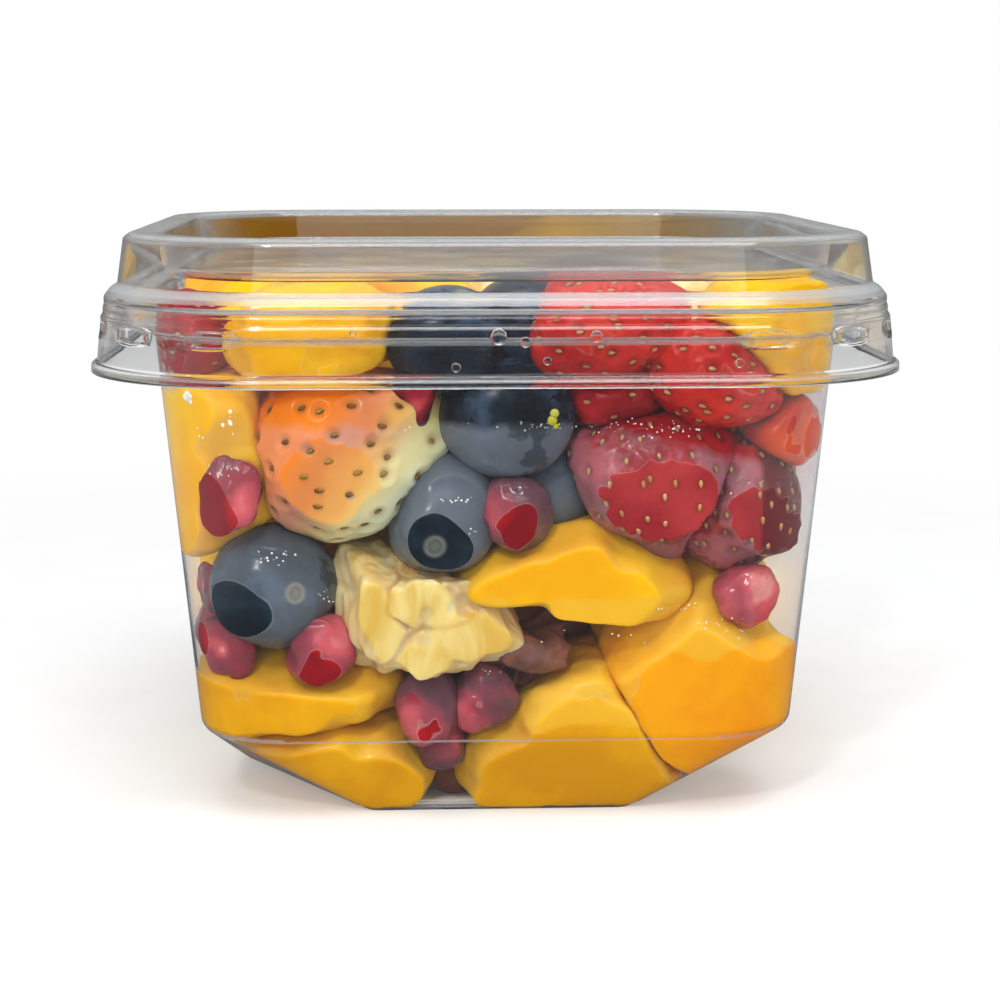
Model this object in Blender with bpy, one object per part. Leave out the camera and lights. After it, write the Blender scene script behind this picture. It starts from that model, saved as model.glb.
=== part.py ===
"""Fruit cup: a clear square plastic tub with a snap-on lid, packed with mixed cut fruit.

Origin at the middle of the base, Z up, the front is -Y. Every fruit that shows is its
own closed solid. A fruit starts as a plain form (block, berry, cone or drop), is cut
flat by the knife, and is then pressed flat where it meets the tub, the lid or another
fruit. Lengths in the tables are in millimetres.
"""

import math

import bmesh
import bpy
import numpy as np

MM = 0.001
CORNER_STEPS = 5  # facets round each corner of the tub and lid

# Tub.
WALL = 0.6
FOLD_Z = 12.1  # height of the fold where the slanted base facets begin
FOLD_HALF = 43.2
FOLD_RADIUS = 13.0
STEP_Z = 69.3  # height of the outward step below the rim
STEP_HALF = 49.0
STEP_RADIUS = 21.2
FLOOR_HALF_X = 37.6
FLOOR_HALF_Y = 37.2
FLOOR_EDGE_X = 18.5  # half length of the floor's front and back edges
FLOOR_EDGE_Y = 10.7  # half length of its side edges
RIM_HALF = 54.3
RIM_Z = 74.1

# Lid, as (height, half width, corner radius) from the lip up over the ring to the panel.
LID_WALL = 0.6
LID_PROFILE = (
    (64.0, 57.6, 27.0),
    (65.1, 57.6, 27.0),
    (65.5, 56.8, 26.5),
    (71.7, 56.2, 26.0),
    (72.1, 55.9, 25.8),
    (74.5, 55.7, 25.6),
    (75.7, 54.8, 25.2),
    (76.2, 53.9, 24.8),
    (82.6, 53.0, 24.3),
    (83.3, 52.1, 23.7),
    (83.3, 48.6, 21.2),
    (82.7, 47.9, 20.6),
    (78.4, 47.3, 20.0),
    (77.6, 46.4, 19.4),
)
PANEL_Z = 77.6

# Fruit.
GAP = 0.4  # clear space left between neighbours
TOP_Z = PANEL_Z - LID_WALL - GAP
FRUIT_COLOURS = {
    "mango": (0.93, 0.56, 0.03),
    "mango_orange": (0.93, 0.42, 0.02),
    "pineapple": (0.88, 0.72, 0.30),
    "peach": (0.85, 0.45, 0.20),
    "orange": (0.90, 0.28, 0.02),
    "strawberry": (0.66, 0.04, 0.04),
    "strawberry_pale": (0.86, 0.55, 0.30),
    "blueberry": (0.03, 0.05, 0.10),
    "aril": (0.50, 0.03, 0.06),
    "middle": (0.75, 0.38, 0.06),
}
HARDNESS = {
    "blueberry": 3.0,
    "aril": 4.0,
    "strawberry": 1.3,
    "strawberry_pale": 2.4,
    "mango_crescent": 2.0,
    "middle": 0.02,
}

# Each row: name, kind, side, along the wall, up, inward from the wall, half sizes
# (along, inward, up), tilt in degrees, squareness, and knife cuts as (angle, distance).
FRUITS = (
    # Front, from the top left.
    ("mango_corner", "mango", "front", -39.0, 50.0, 12.0, (11.5, 14.0, 14.1), -8, 2.6,
     ((-38, 8.7),)),
    ("mango_rim_left", "mango", "front", -25.8, 69.3, 10.5, (12.3, 10.5, 7.4), 4, 3.0,
     ()),
    ("strawberry_corner", "strawberry", "front", -43.3, 68.9, 13.0, (7.5, 8.0, 6.2), 0,
     2.2, ()),
    ("strawberry_pale", "strawberry_pale", "front", -21.4, 52.4, 9.4,
     (13.8, 11.0, 13.1), -16, 2.0, ()),
    ("aril_upper_left", "aril", "front", -39.0, 47.7, 3.8, (5.2, 4.4, 5.0), 30, 2.0,
     ()),
    ("blueberry_left", "blueberry", "front", -32.2, 33.5, 8.0, (9.3, 9.0, 9.3), 0, 2.0,
     ()),
    ("aril_left_a", "aril", "front", -42.7, 33.1, 6.5, (4.0, 4.2, 4.5), 0, 2.0, ()),
    ("aril_left_b", "aril", "front", -39.1, 24.7, 4.8, (4.3, 4.2, 5.1), 25, 2.0, ()),
    ("aril_left_c", "aril", "left", 31.7, 26.1, 4.4, (4.2, 4.2, 4.4), 0, 2.0, ()),
    ("aril_middle_left", "aril", "front", -25.3, 24.8, 3.9, (4.3, 4.2, 5.5), -35, 2.0,
     ()),
    ("mango_low_left", "mango", "front", -28.6, 18.3, 12.0, (16.0, 12.5, 7.1), 5, 2.7,
     ()),
    ("mango_floor_left", "mango", "front", -23.0, 6.1, 12.5, (14.7, 13.0, 8.5), 0, 3.8,
     ((-22, 12.6),)),
    ("pineapple_middle", "pineapple", "front", -9.9, 30.9, 9.0, (12.7, 10.0, 9.4), 6,
     2.6, ()),
    ("blueberry_middle", "blueberry", "front", -7.4, 43.8, 8.0, (9.0, 9.0, 9.7), 0, 2.0,
     ()),
    ("blueberry_upper", "blueberry", "front", 1.0, 57.7, 8.4, (10.2, 9.4, 9.0), 0, 2.0,
     ()),
    ("blueberry_rim_a", "blueberry", "front", -7.3, 68.5, 8.4, (8.7, 8.4, 8.0), 0, 2.0,
     ()),
    ("blueberry_rim_b", "blueberry", "front", 3.4, 71.1, 14.0, (7.3, 7.4, 6.6), 0, 2.0,
     ()),
    ("blueberry_behind", "blueberry", "front", 6.8, 47.0, 12.5, (8.2, 8.0, 7.7), 0, 2.0,
     ()),
    ("aril_centre", "aril", "front", 2.4, 44.8, 3.9, (4.3, 4.2, 5.2), 20, 2.0, ()),
    ("aril_upper", "aril", "front", -12.5, 60.2, 5.0, (3.8, 4.2, 4.9), 25, 2.0, ()),
    ("mango_crescent", "mango", "front", 9.9, 34.8, 8.5, (17.5, 9.0, 9.2), -8, 2.2,
     ((-96, 4.9),)),
    ("peach_middle", "peach", "front", 1.8, 23.5, 12.5, (8.1, 9.0, 7.6), 30, 2.4, ()),
    ("aril_low_a", "aril", "front", -10.1, 16.2, 4.2, (4.5, 4.3, 5.8), 0, 2.0, ()),
    ("aril_low_b", "aril", "front", -2.1, 17.3, 4.2, (4.2, 4.3, 5.4), -35, 2.0, ()),
    ("aril_low_c", "aril", "front", -8.1, 9.9, 5.8, (4.3, 4.0, 4.0), 70, 2.0, ()),
    ("mango_floor_front", "mango", "front", 8.4, 12.3, 12.5, (18.3, 13.0, 15.2), 0, 3.6,
     ((128, 6.4), (37, 12.1), (-138, 15.6))),
    ("mango_orange", "mango_orange", "front", 26.0, 21.6, 12.5, (15.7, 13.0, 16.5), 0,
     3.4, ((125, 10.9), (41, 13.1), (-145, 9.6))),
    ("strawberry_front", "strawberry", "front", 21.3, 48.6, 9.2, (10.6, 11.0, 13.5),
     -94, 2.1, ()),
    ("strawberry_right", "strawberry", "front", 33.9, 45.0, 10.5, (10.0, 10.0, 10.5),
     -110, 2.0, ()),
    ("strawberry_rim_a", "strawberry", "front", 14.5, 70.5, 9.5, (13.1, 10.5, 8.5), 6,
     2.1, ()),
    ("strawberry_rim_b", "strawberry", "front", 30.1, 64.1, 8.8, (11.7, 9.5, 8.2), -12,
     2.1, ()),
    ("mango_rim_right", "mango", "front", 37.8, 69.1, 11.0, (9.7, 12.0, 9.5), 4, 3.0,
     ()),
    ("orange_right", "orange", "front", 39.8, 55.7, 12.0, (5.8, 9.0, 5.6), -10, 2.4,
     ()),
    ("aril_right", "aril", "front", 35.3, 32.3, 5.0, (4.7, 4.4, 4.7), 15, 2.0, ()),
    ("strawberry_dark", "strawberry", "front", 16.8, 60.3, 12.0, (9.0, 9.0, 5.6), 0,
     2.2, ()),
    # Left side, from the front.
    ("strawberry_left", "strawberry", "left", 5.0, 55.8, 10.5, (13.0, 11.5, 14.1), 82,
     2.1, ()),
    ("mango_left", "mango", "left", 8.0, 33.4, 12.5, (17.0, 12.5, 12.1), 8, 3.0,
     ((130, 13.0),)),
    ("blueberry_left_side", "blueberry", "left", -13.5, 42.0, 9.0, (9.6, 9.4, 9.5), 0,
     2.0, ()),
    ("pineapple_left", "pineapple", "left", 3.0, 13.0, 12.5, (18.0, 13.0, 11.1), -5,
     2.8, ()),
    ("mango_left_top", "mango", "left", -11.8, 68.5, 12.0, (17.5, 12.5, 8.9), -4, 3.0,
     ()),
    # Back, from the right as seen from behind.
    ("mango_back_a", "mango", "back", -17.3, 58.8, 12.5, (17.5, 13.0, 13.1), 10, 3.0,
     ((40, 14.0),)),
    ("strawberry_back_a", "strawberry", "back", 10.4, 52.2, 10.5, (13.6, 11.5, 13.1),
     -70, 2.1, ()),
    ("blueberry_back_a", "blueberry", "back", 28.9, 41.0, 9.0, (9.8, 9.4, 9.7), 0, 2.0,
     ()),
    ("blueberry_back_b", "blueberry", "back", -6.5, 36.9, 9.0, (9.2, 9.2, 9.3), 0, 2.0,
     ()),
    ("mango_back_b", "mango_orange", "back", -27.0, 34.4, 12.5, (15.0, 13.0, 13.6), -6,
     3.0, ((-130, 13.5),)),
    ("mango_back_c", "mango", "back", 20.6, 21.1, 13.0, (18.0, 13.0, 14.1), 6, 3.2,
     ((145, 15.0),)),
    ("mango_back_d", "mango", "back", -13.6, 10.9, 13.0, (20.0, 13.5, 12.1), 0, 3.6,
     ()),
    ("strawberry_back_b", "strawberry", "back", 33.1, 61.4, 12.0, (13.4, 12.0, 12.7),
     -100, 2.1, ()),
    # Right side, from the front.
    ("mango_right", "mango", "right", 0.0, 21.1, 12.5, (16.5, 13.0, 15.7), -6, 3.2,
     ((50, 15.0),)),
    ("strawberry_right_side", "strawberry", "right", -5.5, 49.2, 10.5,
     (13.4, 11.5, 12.7), -80, 2.1, ()),
    ("blueberry_right_side", "blueberry", "right", 14.0, 43.5, 9.0, (9.8, 9.4, 9.7), 0,
     2.0, ()),
    ("pineapple_right", "pineapple", "right", 13.8, 63.4, 12.0, (16.0, 12.5, 11.6), 10,
     2.8, ()),
    ("mango_corner_back", "mango", "right", 31.2, 22.7, 14.0, (14.5, 13.5, 16.7), 0,
     3.2, ()),
    # Top, under the lid's panel.
    ("mango_top", "mango", "front", -14.8, 68.5, 34.0, (15.5, 14.0, 9.3), 0, 3.0, ()),
    ("strawberry_top", "strawberry", "front", 12.8, 68.1, 34.5, (14.5, 14.0, 9.9), 30,
     2.1, ()),
    ("pineapple_top", "pineapple", "front", -8.9, 69.0, 62.0, (18.0, 14.5, 8.7), 0, 2.8,
     ()),
    ("blueberry_top", "blueberry", "front", 16.8, 69.0, 59.0, (9.8, 9.8, 8.7), 0, 2.0,
     ()),
)
MIDDLE = ("fruit_middle", "middle", "front", 0.0, 33.5, 47.0, (34.0, 34.0, 36.0), 0,
          3.4, ())
SIDE_TURN = {"front": 0, "right": 90, "back": 180, "left": -90}


def clear_scene():
    for obj in list(bpy.data.objects):
        bpy.data.objects.remove(obj, do_unlink=True)


def material(name, colour, rough, clear=0.0):
    mat = bpy.data.materials.new(name)
    mat.use_nodes = True
    shader = mat.node_tree.nodes["Principled BSDF"]
    shader.inputs["Base Color"].default_value = (*colour, 1.0)
    shader.inputs["Roughness"].default_value = rough
    shader.inputs["Transmission Weight"].default_value = clear
    shader.inputs["IOR"].default_value = 1.57 if clear else 1.4
    mat.diffuse_color = (*colour, 0.3 if clear else 1.0)
    return mat


def rounded_square(half, radius, z):
    """Ring of points round a square with rounded corners, anticlockwise from +X."""
    turns = np.radians(np.linspace(0, 90, CORNER_STEPS + 1))
    ring = []
    for corner in range(4):
        angles = turns + math.radians(90 * corner)
        middle = math.radians(90 * corner + 45)
        centre = (half - radius) * math.sqrt(2)
        x = centre * math.cos(middle) + radius * np.cos(angles)
        y = centre * math.sin(middle) + radius * np.sin(angles)
        ring.append(np.stack([x, y, np.full_like(x, z)], axis=1))
    return np.concatenate(ring)


def floor_outline(inset, z):
    """The floor's eight corners: a rectangle whose corners are cut off."""
    hx, hy = FLOOR_HALF_X - inset, FLOOR_HALF_Y - inset
    ex, ey = FLOOR_EDGE_X - 0.4 * inset, FLOOR_EDGE_Y - 0.4 * inset
    quarter = [(hx, ey), (ex, hy)]
    signs = ((1, 1), (-1, 1), (-1, -1), (1, -1))
    points = [(sx * x, sy * y, z) for sx, sy in signs for x, y in quarter]
    return np.array(points)


def hull(points):
    """Convex hull of points as a bmesh."""
    bm = bmesh.new()
    verts = [bm.verts.new(p) for p in points]
    found = bmesh.ops.convex_hull(bm, input=verts)
    spare = {v for v in found["geom_interior"] + found["geom_unused"]
             if isinstance(v, bmesh.types.BMVert)}
    bmesh.ops.delete(bm, geom=list(spare), context="VERTS")
    bmesh.ops.recalc_face_normals(bm, faces=bm.faces)
    if bm.calc_volume(signed=True) < 0:
        bmesh.ops.reverse_faces(bm, faces=bm.faces)
    return bm


def to_object(bm, name, mat, smooth=True):
    mesh = bpy.data.meshes.new(name)
    bmesh.ops.scale(bm, vec=(MM, MM, MM), verts=bm.verts)
    bm.to_mesh(mesh)
    bm.free()
    obj = bpy.data.objects.new(name, mesh)
    bpy.context.scene.collection.objects.link(obj)
    mesh.materials.append(mat)
    if smooth:
        mesh.shade_smooth()
    return obj


def tub_body(inset, top):
    """Convex space of the tub, inset from its outside: floor, fold and straight walls."""
    share = (top - FOLD_Z) / (STEP_Z - FOLD_Z)
    half_top = FOLD_HALF + share * (STEP_HALF - FOLD_HALF) - inset
    radius_top = FOLD_RADIUS + share * (STEP_RADIUS - FOLD_RADIUS) - inset
    fold = rounded_square(FOLD_HALF - inset, FOLD_RADIUS - inset, FOLD_Z + 0.3 * inset)
    head = rounded_square(half_top, radius_top, top)
    return hull(np.concatenate([floor_outline(1.2 * inset, inset), fold, head]))


def open_top(bm, top):
    """Remove the flat face across the top and return its rim in order."""
    flat = [f for f in bm.faces if all(abs(v.co.z - top) < 1e-4 for v in f.verts)]
    bmesh.ops.delete(bm, geom=flat, context="FACES")
    rim = [v for v in bm.verts if abs(v.co.z - top) < 1e-4]
    return sorted(rim, key=lambda v: math.atan2(v.co.y, v.co.x) % (2 * math.pi))


def bridge(bm, first, second):
    count = len(first)
    for i in range(count):
        j = (i + 1) % count
        bm.faces.new((first[i], first[j], second[j], second[i]))


def ring_verts(bm, points):
    verts = [bm.verts.new(p) for p in points]
    return sorted(verts, key=lambda v: math.atan2(v.co.y, v.co.x) % (2 * math.pi))


def build_tub(mat):
    bm = tub_body(0.0, STEP_Z)
    outer = open_top(bm, STEP_Z)
    inner_bm = tub_body(WALL, STEP_Z + WALL)
    bmesh.ops.reverse_faces(inner_bm, faces=inner_bm.faces)
    mesh = bpy.data.meshes.new("inner")
    inner_bm.to_mesh(mesh)
    inner_bm.free()
    bm.from_mesh(mesh)
    bpy.data.meshes.remove(mesh)
    inner = open_top(bm, STEP_Z + WALL)
    # The step, the upright collar and the rim, out along the underside and back inside.
    collar = (
        (STEP_Z + 0.3, STEP_HALF + 3.2, STEP_RADIUS + 3.2),
        (STEP_Z + 3.8, STEP_HALF + 3.8, STEP_RADIUS + 3.6),
        (STEP_Z + 4.1, RIM_HALF, STEP_RADIUS + 4.4),
        (RIM_Z, RIM_HALF, STEP_RADIUS + 4.4),
        (RIM_Z, STEP_HALF + 3.2, STEP_RADIUS + 3.2),
        (STEP_Z + 0.3 + WALL, STEP_HALF + 2.6, STEP_RADIUS + 2.8),
    )
    rings = [ring_verts(bm, rounded_square(h, r, z)) for z, h, r in collar]
    chain = [outer, *rings, inner]
    for first, second in zip(chain, chain[1:]):
        bridge(bm, first, second)
    bmesh.ops.recalc_face_normals(bm, faces=bm.faces)
    return to_object(bm, "tub", mat, smooth=False)


def offset_profile(profile, by):
    """The same profile moved inwards, into the cup, by a distance."""
    points = np.array([(half, z) for z, half, _ in profile])
    steps = np.diff(points, axis=0)
    normals = np.stack([steps[:, 1], -steps[:, 0]], axis=1)
    normals /= np.linalg.norm(normals, axis=1)[:, None]
    first, last = normals[:1], np.array([[0.0, 1.0]])
    before = np.concatenate([first, normals])
    after = np.concatenate([normals, last])
    both = before + after
    mitre = both / (1 + np.sum(before * after, axis=1))[:, None]
    moved = points - by * mitre
    moved[0, 1] = points[0, 1]
    shift = moved[:, 0] - points[:, 0]
    return [(z, half, row[2] + s) for (half, z), row, s in zip(moved, profile, shift)]


def build_lid(mat):
    bm = bmesh.new()
    inside = offset_profile(LID_PROFILE, LID_WALL)
    outer = [ring_verts(bm, rounded_square(h, r, z)) for z, h, r in LID_PROFILE]
    inner = [ring_verts(bm, rounded_square(h, r, z)) for z, h, r in inside]
    for rings in (outer, inner):
        for first, second in zip(rings, rings[1:]):
            bridge(bm, first, second)
        bm.faces.new(rings[-1])
    bridge(bm, outer[0], inner[0])
    bmesh.ops.triangulate(bm, faces=bm.faces)
    bmesh.ops.recalc_face_normals(bm, faces=bm.faces)
    return to_object(bm, "lid", mat, smooth=False)


def plain_form(kind, size, squareness, small):
    """Unit directions scaled to a block, berry, cone or drop, with +X along its length."""
    around, down = (8, 5) if small else (10, 6)
    u, v = np.meshgrid(np.arange(around) * 2 * math.pi / around,
                       np.linspace(0, math.pi, down + 1)[1:-1])
    x = np.cos(v).ravel()
    y = (np.sin(v) * np.cos(u)).ravel()
    z = (np.sin(v) * np.sin(u)).ravel()
    way = np.stack([np.append(x, (1, -1)), np.append(y, (0, 0)), np.append(z, (0, 0))], 1)
    power = np.sum(np.abs(way) ** squareness, axis=1) ** (-1 / squareness)
    form = way * power[:, None]
    if kind.startswith("strawberry"):
        # Broad at the stalk end (-X) and tapering to a blunt tip (+X).
        taper = 1.0 - 0.28 * np.clip(form[:, 0] + 0.1, 0, None) ** 1.2
        form[:, 1:] *= taper[:, None]
    elif kind == "aril":
        taper = 1.0 - 0.22 * np.clip(form[:, 0], 0, None)
        form[:, 1:] *= taper[:, None]
    return form * np.array(size)


def wall_half(z):
    """Inner half width of the tub at a height."""
    slope = (STEP_HALF - FOLD_HALF) / (STEP_Z - FOLD_Z)
    if z >= FOLD_Z:
        return STEP_HALF + (z - STEP_Z) * slope - WALL
    return FOLD_HALF - (FOLD_Z - z) * (FOLD_HALF - FLOOR_HALF_X) / FOLD_Z - WALL


class Piece:
    """One fruit: its middle, its turned points and the cuts it was given."""

    def __init__(self, row):
        self.name, self.kind, side, along, up, inward, size, tilt, square, cuts = row
        turn = math.radians(SIDE_TURN[side])
        out = np.array([[math.cos(turn), -math.sin(turn), 0],
                        [math.sin(turn), math.cos(turn), 0],
                        [0, 0, 1]])
        self.middle = out @ np.array([along, inward - wall_half(up), up])
        lean = math.radians(tilt)
        spin = np.array([[math.cos(lean), 0, -math.sin(lean)],
                         [0, 1, 0],
                         [math.sin(lean), 0, math.cos(lean)]])
        small = max(size) < 6
        shape = plain_form(self.kind, size, square, small)
        self.points = self.middle + shape @ (out @ spin).T
        spread = (out @ spin) @ np.diag(np.square(size))
        self.spread = spread @ (out @ spin).T
        self.hard = HARDNESS.get(self.name, HARDNESS.get(self.kind, 1.0))
        self.body = hull(self.points)
        for angle, distance in cuts:
            turned = math.radians(angle)
            normal = out @ np.array([math.cos(turned), 0, math.sin(turned)])
            self.clip(normal, normal @ self.middle + distance)

    def reach(self, normal):
        found = np.array([v.co for v in self.body.verts]) @ normal
        return found.min(), found.max()

    def clip(self, normal, limit):
        """Cut away what lies past the plane, and close the cut."""
        if self.reach(normal)[1] <= limit:
            return
        geom = [*self.body.verts, *self.body.edges, *self.body.faces]
        bmesh.ops.bisect_plane(self.body, geom=geom, plane_co=normal * limit,
                               plane_no=normal, clear_outer=True, dist=1e-5)
        points = [v.co.copy() for v in self.body.verts]
        self.body.free()
        self.body = hull(points)


def press_together(pieces):
    """Part every two fruits that overlap by one plane, the harder one giving way less."""
    for i, first in enumerate(pieces):
        for second in pieces[i + 1:]:
            apart = second.middle - first.middle
            if np.linalg.norm(apart) > 75:
                continue
            normal = np.linalg.solve(first.spread + second.spread, apart)
            normal /= np.linalg.norm(normal)
            high = first.reach(normal)[1]
            low = second.reach(normal)[0]
            if high + GAP < low:
                continue
            share = first.hard / (first.hard + second.hard)
            meet = low + (high - low) * share
            first.clip(normal, meet - GAP / 2)
            second.clip(-normal, -(meet + GAP / 2))


def press_into_tub(pieces):
    """Flatten every fruit against the tub's inner faces and under the lid's panel."""
    space = tub_body(WALL + GAP, TOP_Z)
    space.normal_update()
    planes = []
    for face in space.faces:
        normal = np.array(face.normal)
        planes.append((normal, normal @ np.array(face.verts[0].co)))
    space.free()
    for piece in pieces:
        for normal, limit in planes:
            piece.clip(normal, limit)


def build_fruits(mats):
    pieces = [Piece(row) for row in (*FRUITS, MIDDLE)]
    press_together(pieces)
    press_into_tub(pieces)
    for piece in pieces:
        bmesh.ops.remove_doubles(piece.body, verts=piece.body.verts, dist=0.45)
        points = [v.co.copy() for v in piece.body.verts]
        piece.body.free()
        to_object(hull(points), piece.name, mats[piece.kind])


clear_scene()
clear_plastic = material("clear_plastic", (0.95, 0.96, 0.97), 0.05, clear=1.0)
lid_plastic = material("lid_plastic", (0.95, 0.96, 0.97), 0.05, clear=1.0)
fruit_mats = {kind: material(kind, rgb, 0.35) for kind, rgb in FRUIT_COLOURS.items()}
build_tub(clear_plastic)
build_lid(lid_plastic)
build_fruits(fruit_mats)
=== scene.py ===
"""Fruit cup: a clear square tub with a press-on lid, packed with mixed cut fruit.

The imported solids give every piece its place. Each fruit is grown on its solid, pressed
against the tub's inside where it touches, and given its own skin or cut flesh.
"""

import math

import bmesh
import bpy
import numpy as np
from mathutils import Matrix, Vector


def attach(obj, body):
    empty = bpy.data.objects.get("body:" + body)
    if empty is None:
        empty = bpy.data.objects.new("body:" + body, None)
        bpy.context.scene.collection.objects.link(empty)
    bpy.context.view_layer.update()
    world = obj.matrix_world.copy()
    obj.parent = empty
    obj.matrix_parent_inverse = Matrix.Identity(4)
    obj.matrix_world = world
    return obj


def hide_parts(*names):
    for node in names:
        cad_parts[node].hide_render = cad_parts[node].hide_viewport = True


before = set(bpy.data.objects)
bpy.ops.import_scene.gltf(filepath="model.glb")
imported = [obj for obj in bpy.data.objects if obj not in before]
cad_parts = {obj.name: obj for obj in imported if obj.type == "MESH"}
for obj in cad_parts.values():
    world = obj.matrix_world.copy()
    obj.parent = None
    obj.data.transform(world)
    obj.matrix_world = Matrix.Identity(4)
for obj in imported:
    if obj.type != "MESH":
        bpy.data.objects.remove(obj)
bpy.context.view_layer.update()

scene = bpy.context.scene
scene.view_settings.view_transform = "Standard"
MM = 0.001

# ---------------------------------------------------------------------------- camera
# A little above the rim and square to the front, looking slightly down.
camera = bpy.data.objects.new("camera", bpy.data.cameras.new("camera"))
scene.collection.objects.link(camera)
scene.camera = camera
camera_turn, camera_dip, camera_away = math.radians(-2.384), math.radians(8.417), 0.32957
camera.location = (camera_away * math.sin(camera_turn),
                   -camera_away * math.cos(camera_turn), 0.09748)
camera.rotation_euler = (math.radians(90) - camera_dip, 0, camera_turn)
camera.data.lens = 75.33
camera.data.shift_x, camera.data.shift_y = 0.012, -0.06
camera.data.clip_start = 0.01


# ------------------------------------------------------------------- floor and light
# A plain pale floor under soft studio light: a large soft light above and in front,
# weaker ones at the front and sides that the clear plastic doesn't show, a small key
# light, and a pale room all round.
def node(tree, kind, inputs=(), **settings):
    """Add one shader node; inputs maps a socket's name or number to a value or link."""
    made = tree.nodes.new(kind)
    for key, value in settings.items():
        setattr(made, key, value)
    feed(made, inputs)
    return made


def feed(made, inputs):
    """Give sockets of a node their values or links."""
    for key, value in dict(inputs).items():
        if isinstance(value, bpy.types.NodeSocket):
            made.id_data.links.new(value, made.inputs[key])
        else:
            made.inputs[key].default_value = value


def new_material(name, bare=False):
    """A material and its tree; bare takes the starting nodes out."""
    made = bpy.data.materials.new(name)
    made.use_nodes = True
    if bare:
        made.node_tree.nodes.clear()
    return made, made.node_tree


def own_place(tree):
    """The place of each point on its own piece."""
    return node(tree, "ShaderNodeTexCoord").outputs["Object"]


def noise(tree, place, scale, detail=2.0, **inputs):
    """Cloudy value round 0.5 over a place."""
    inputs |= {"Vector": place, "Scale": scale, "Detail": detail}
    return node(tree, "ShaderNodeTexNoise", inputs).outputs["Fac"]


def between(tree, value, start, end, low=0.0, high=1.0):
    """low to high as a value runs from start to end, held outside them."""
    return node(tree, "ShaderNodeMapRange", {
        "Value": value, 1: start, 2: end, 3: low, 4: high}).outputs[0]


def rgb(*parts):
    """Linear colour of a screen colour given as parts of 255."""
    c = np.array(parts) / 255
    linear = np.where(c > 0.04045, ((c + 0.055) / 1.055) ** 2.4, c / 12.92)
    return (*linear.tolist(), 1.0)


def ramp(tree, factor, stops):
    """Eased colour ramp with (place, colour) stops."""
    made = node(tree, "ShaderNodeValToRGB", {"Fac": factor})
    band = made.color_ramp
    band.interpolation = "EASE"
    while len(band.elements) < len(stops):
        band.elements.new(0.5)
    for element, (place, colour) in zip(band.elements, stops):
        element.position = place
        element.color = colour
    return made.outputs["Color"]


def mix(tree, factor, first, second):
    """Mix two colours."""
    return node(tree, "ShaderNodeMix", {0: factor, 6: first, 7: second},
                data_type="RGBA").outputs[2]


def blend(tree, share, first, second):
    """Mix two shaders."""
    return node(tree, "ShaderNodeMixShader", {0: share, 1: first, 2: second}).outputs[0]


def maths(tree, operation, *values, clamp=False):
    """One Math node over up to three values or links."""
    return node(tree, "ShaderNodeMath", dict(enumerate(values)), operation=operation,
                use_clamp=clamp).outputs[0]


def split(tree, place):
    """The X, Y and Z of a place."""
    return node(tree, "ShaderNodeSeparateXYZ", {0: place}).outputs


def light_path(tree):
    """A light path's outputs, and 1 where the eye meets a thing mirrored once."""
    path = node(tree, "ShaderNodeLightPath").outputs
    once = maths(tree, "COMPARE", path["Glossy Depth"], 1.0, 0.5)
    return path, maths(tree, "SUBTRACT", once, path["Is Diffuse Ray"], clamp=True)


world = bpy.data.worlds.new("room")
scene.world = world
world.use_nodes = True
tree = world.node_tree
tree.nodes.clear()
way = node(tree, "ShaderNodeTexCoord").outputs["Generated"]
parts = split(tree, way)
height = maths(tree, "MULTIPLY_ADD", parts["Z"], 0.5, 0.5)
room = ramp(tree, height, (
    (0.0, rgb(150, 150, 150)), (0.45, rgb(136, 135, 130)), (0.50, rgb(176, 175, 168)),
    (0.56, rgb(190, 190, 190)), (0.75, rgb(245, 247, 250)), (1.0, rgb(255, 255, 255))))
# A warm blotched band lies low and straight behind, where the lid's edges look.
behind = between(tree, parts["Y"], 0.984, 0.996)
low = between(tree, parts["Z"], 0.16, 0.02)
amber = ramp(tree, noise(tree, way, 9.0), (
    (0.3, rgb(110, 78, 0)), (0.5, rgb(172, 120, 0)), (0.7, rgb(222, 168, 24))))
room = mix(tree, maths(tree, "MULTIPLY", behind, low), room, amber)
# The near half of the room is dark where the plastic mirrors it.
path, mirrored = light_path(tree)
near = between(tree, parts["Y"], 0.25, -0.15)
dark = maths(tree, "MULTIPLY", maths(tree, "MULTIPLY", mirrored, 0.85), near)
room = mix(tree, dark, room, (0.03, 0.035, 0.045, 1))
glow = node(tree, "ShaderNodeBackground", {"Color": room, "Strength": 0.55})
white = node(tree, "ShaderNodeBackground", {"Color": (1, 1, 1, 1), "Strength": 1.0})
node(tree, "ShaderNodeOutputWorld", {"Surface": blend(
    tree, path["Is Camera Ray"], glow.outputs[0], white.outputs[0])})


def soft_light(name, place, size, power):
    """Rectangular soft light at a place, facing the middle of the fruit."""
    light = bpy.data.lights.new(name, "AREA")
    light.shape = "RECTANGLE"
    light.size, light.size_y = size
    light.energy = power
    lamp = bpy.data.objects.new(name, light)
    lamp.location = place
    aim = Vector((0, 0, 0.04)) - lamp.location
    lamp.rotation_euler = aim.to_track_quat("-Z", "Y").to_euler()
    scene.collection.objects.link(lamp)
    return lamp


soft_light("light_above", (0.05, -0.28, 0.75), (0.6, 0.5), 4.2)
for side in (-1, 1):
    lamp = soft_light("light_side", (0.65 * side, -0.28, 0.30), (0.16, 0.5), 0.8)
    lamp.visible_glossy = lamp.visible_transmission = False
lamp = soft_light("light_front", (0.0, -0.75, 0.35), (0.7, 0.3), 1.0)
lamp.visible_transmission = False
soft_light("light_key", (-0.16, -0.42, 0.42), (0.05, 0.05), 0.8)

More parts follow.
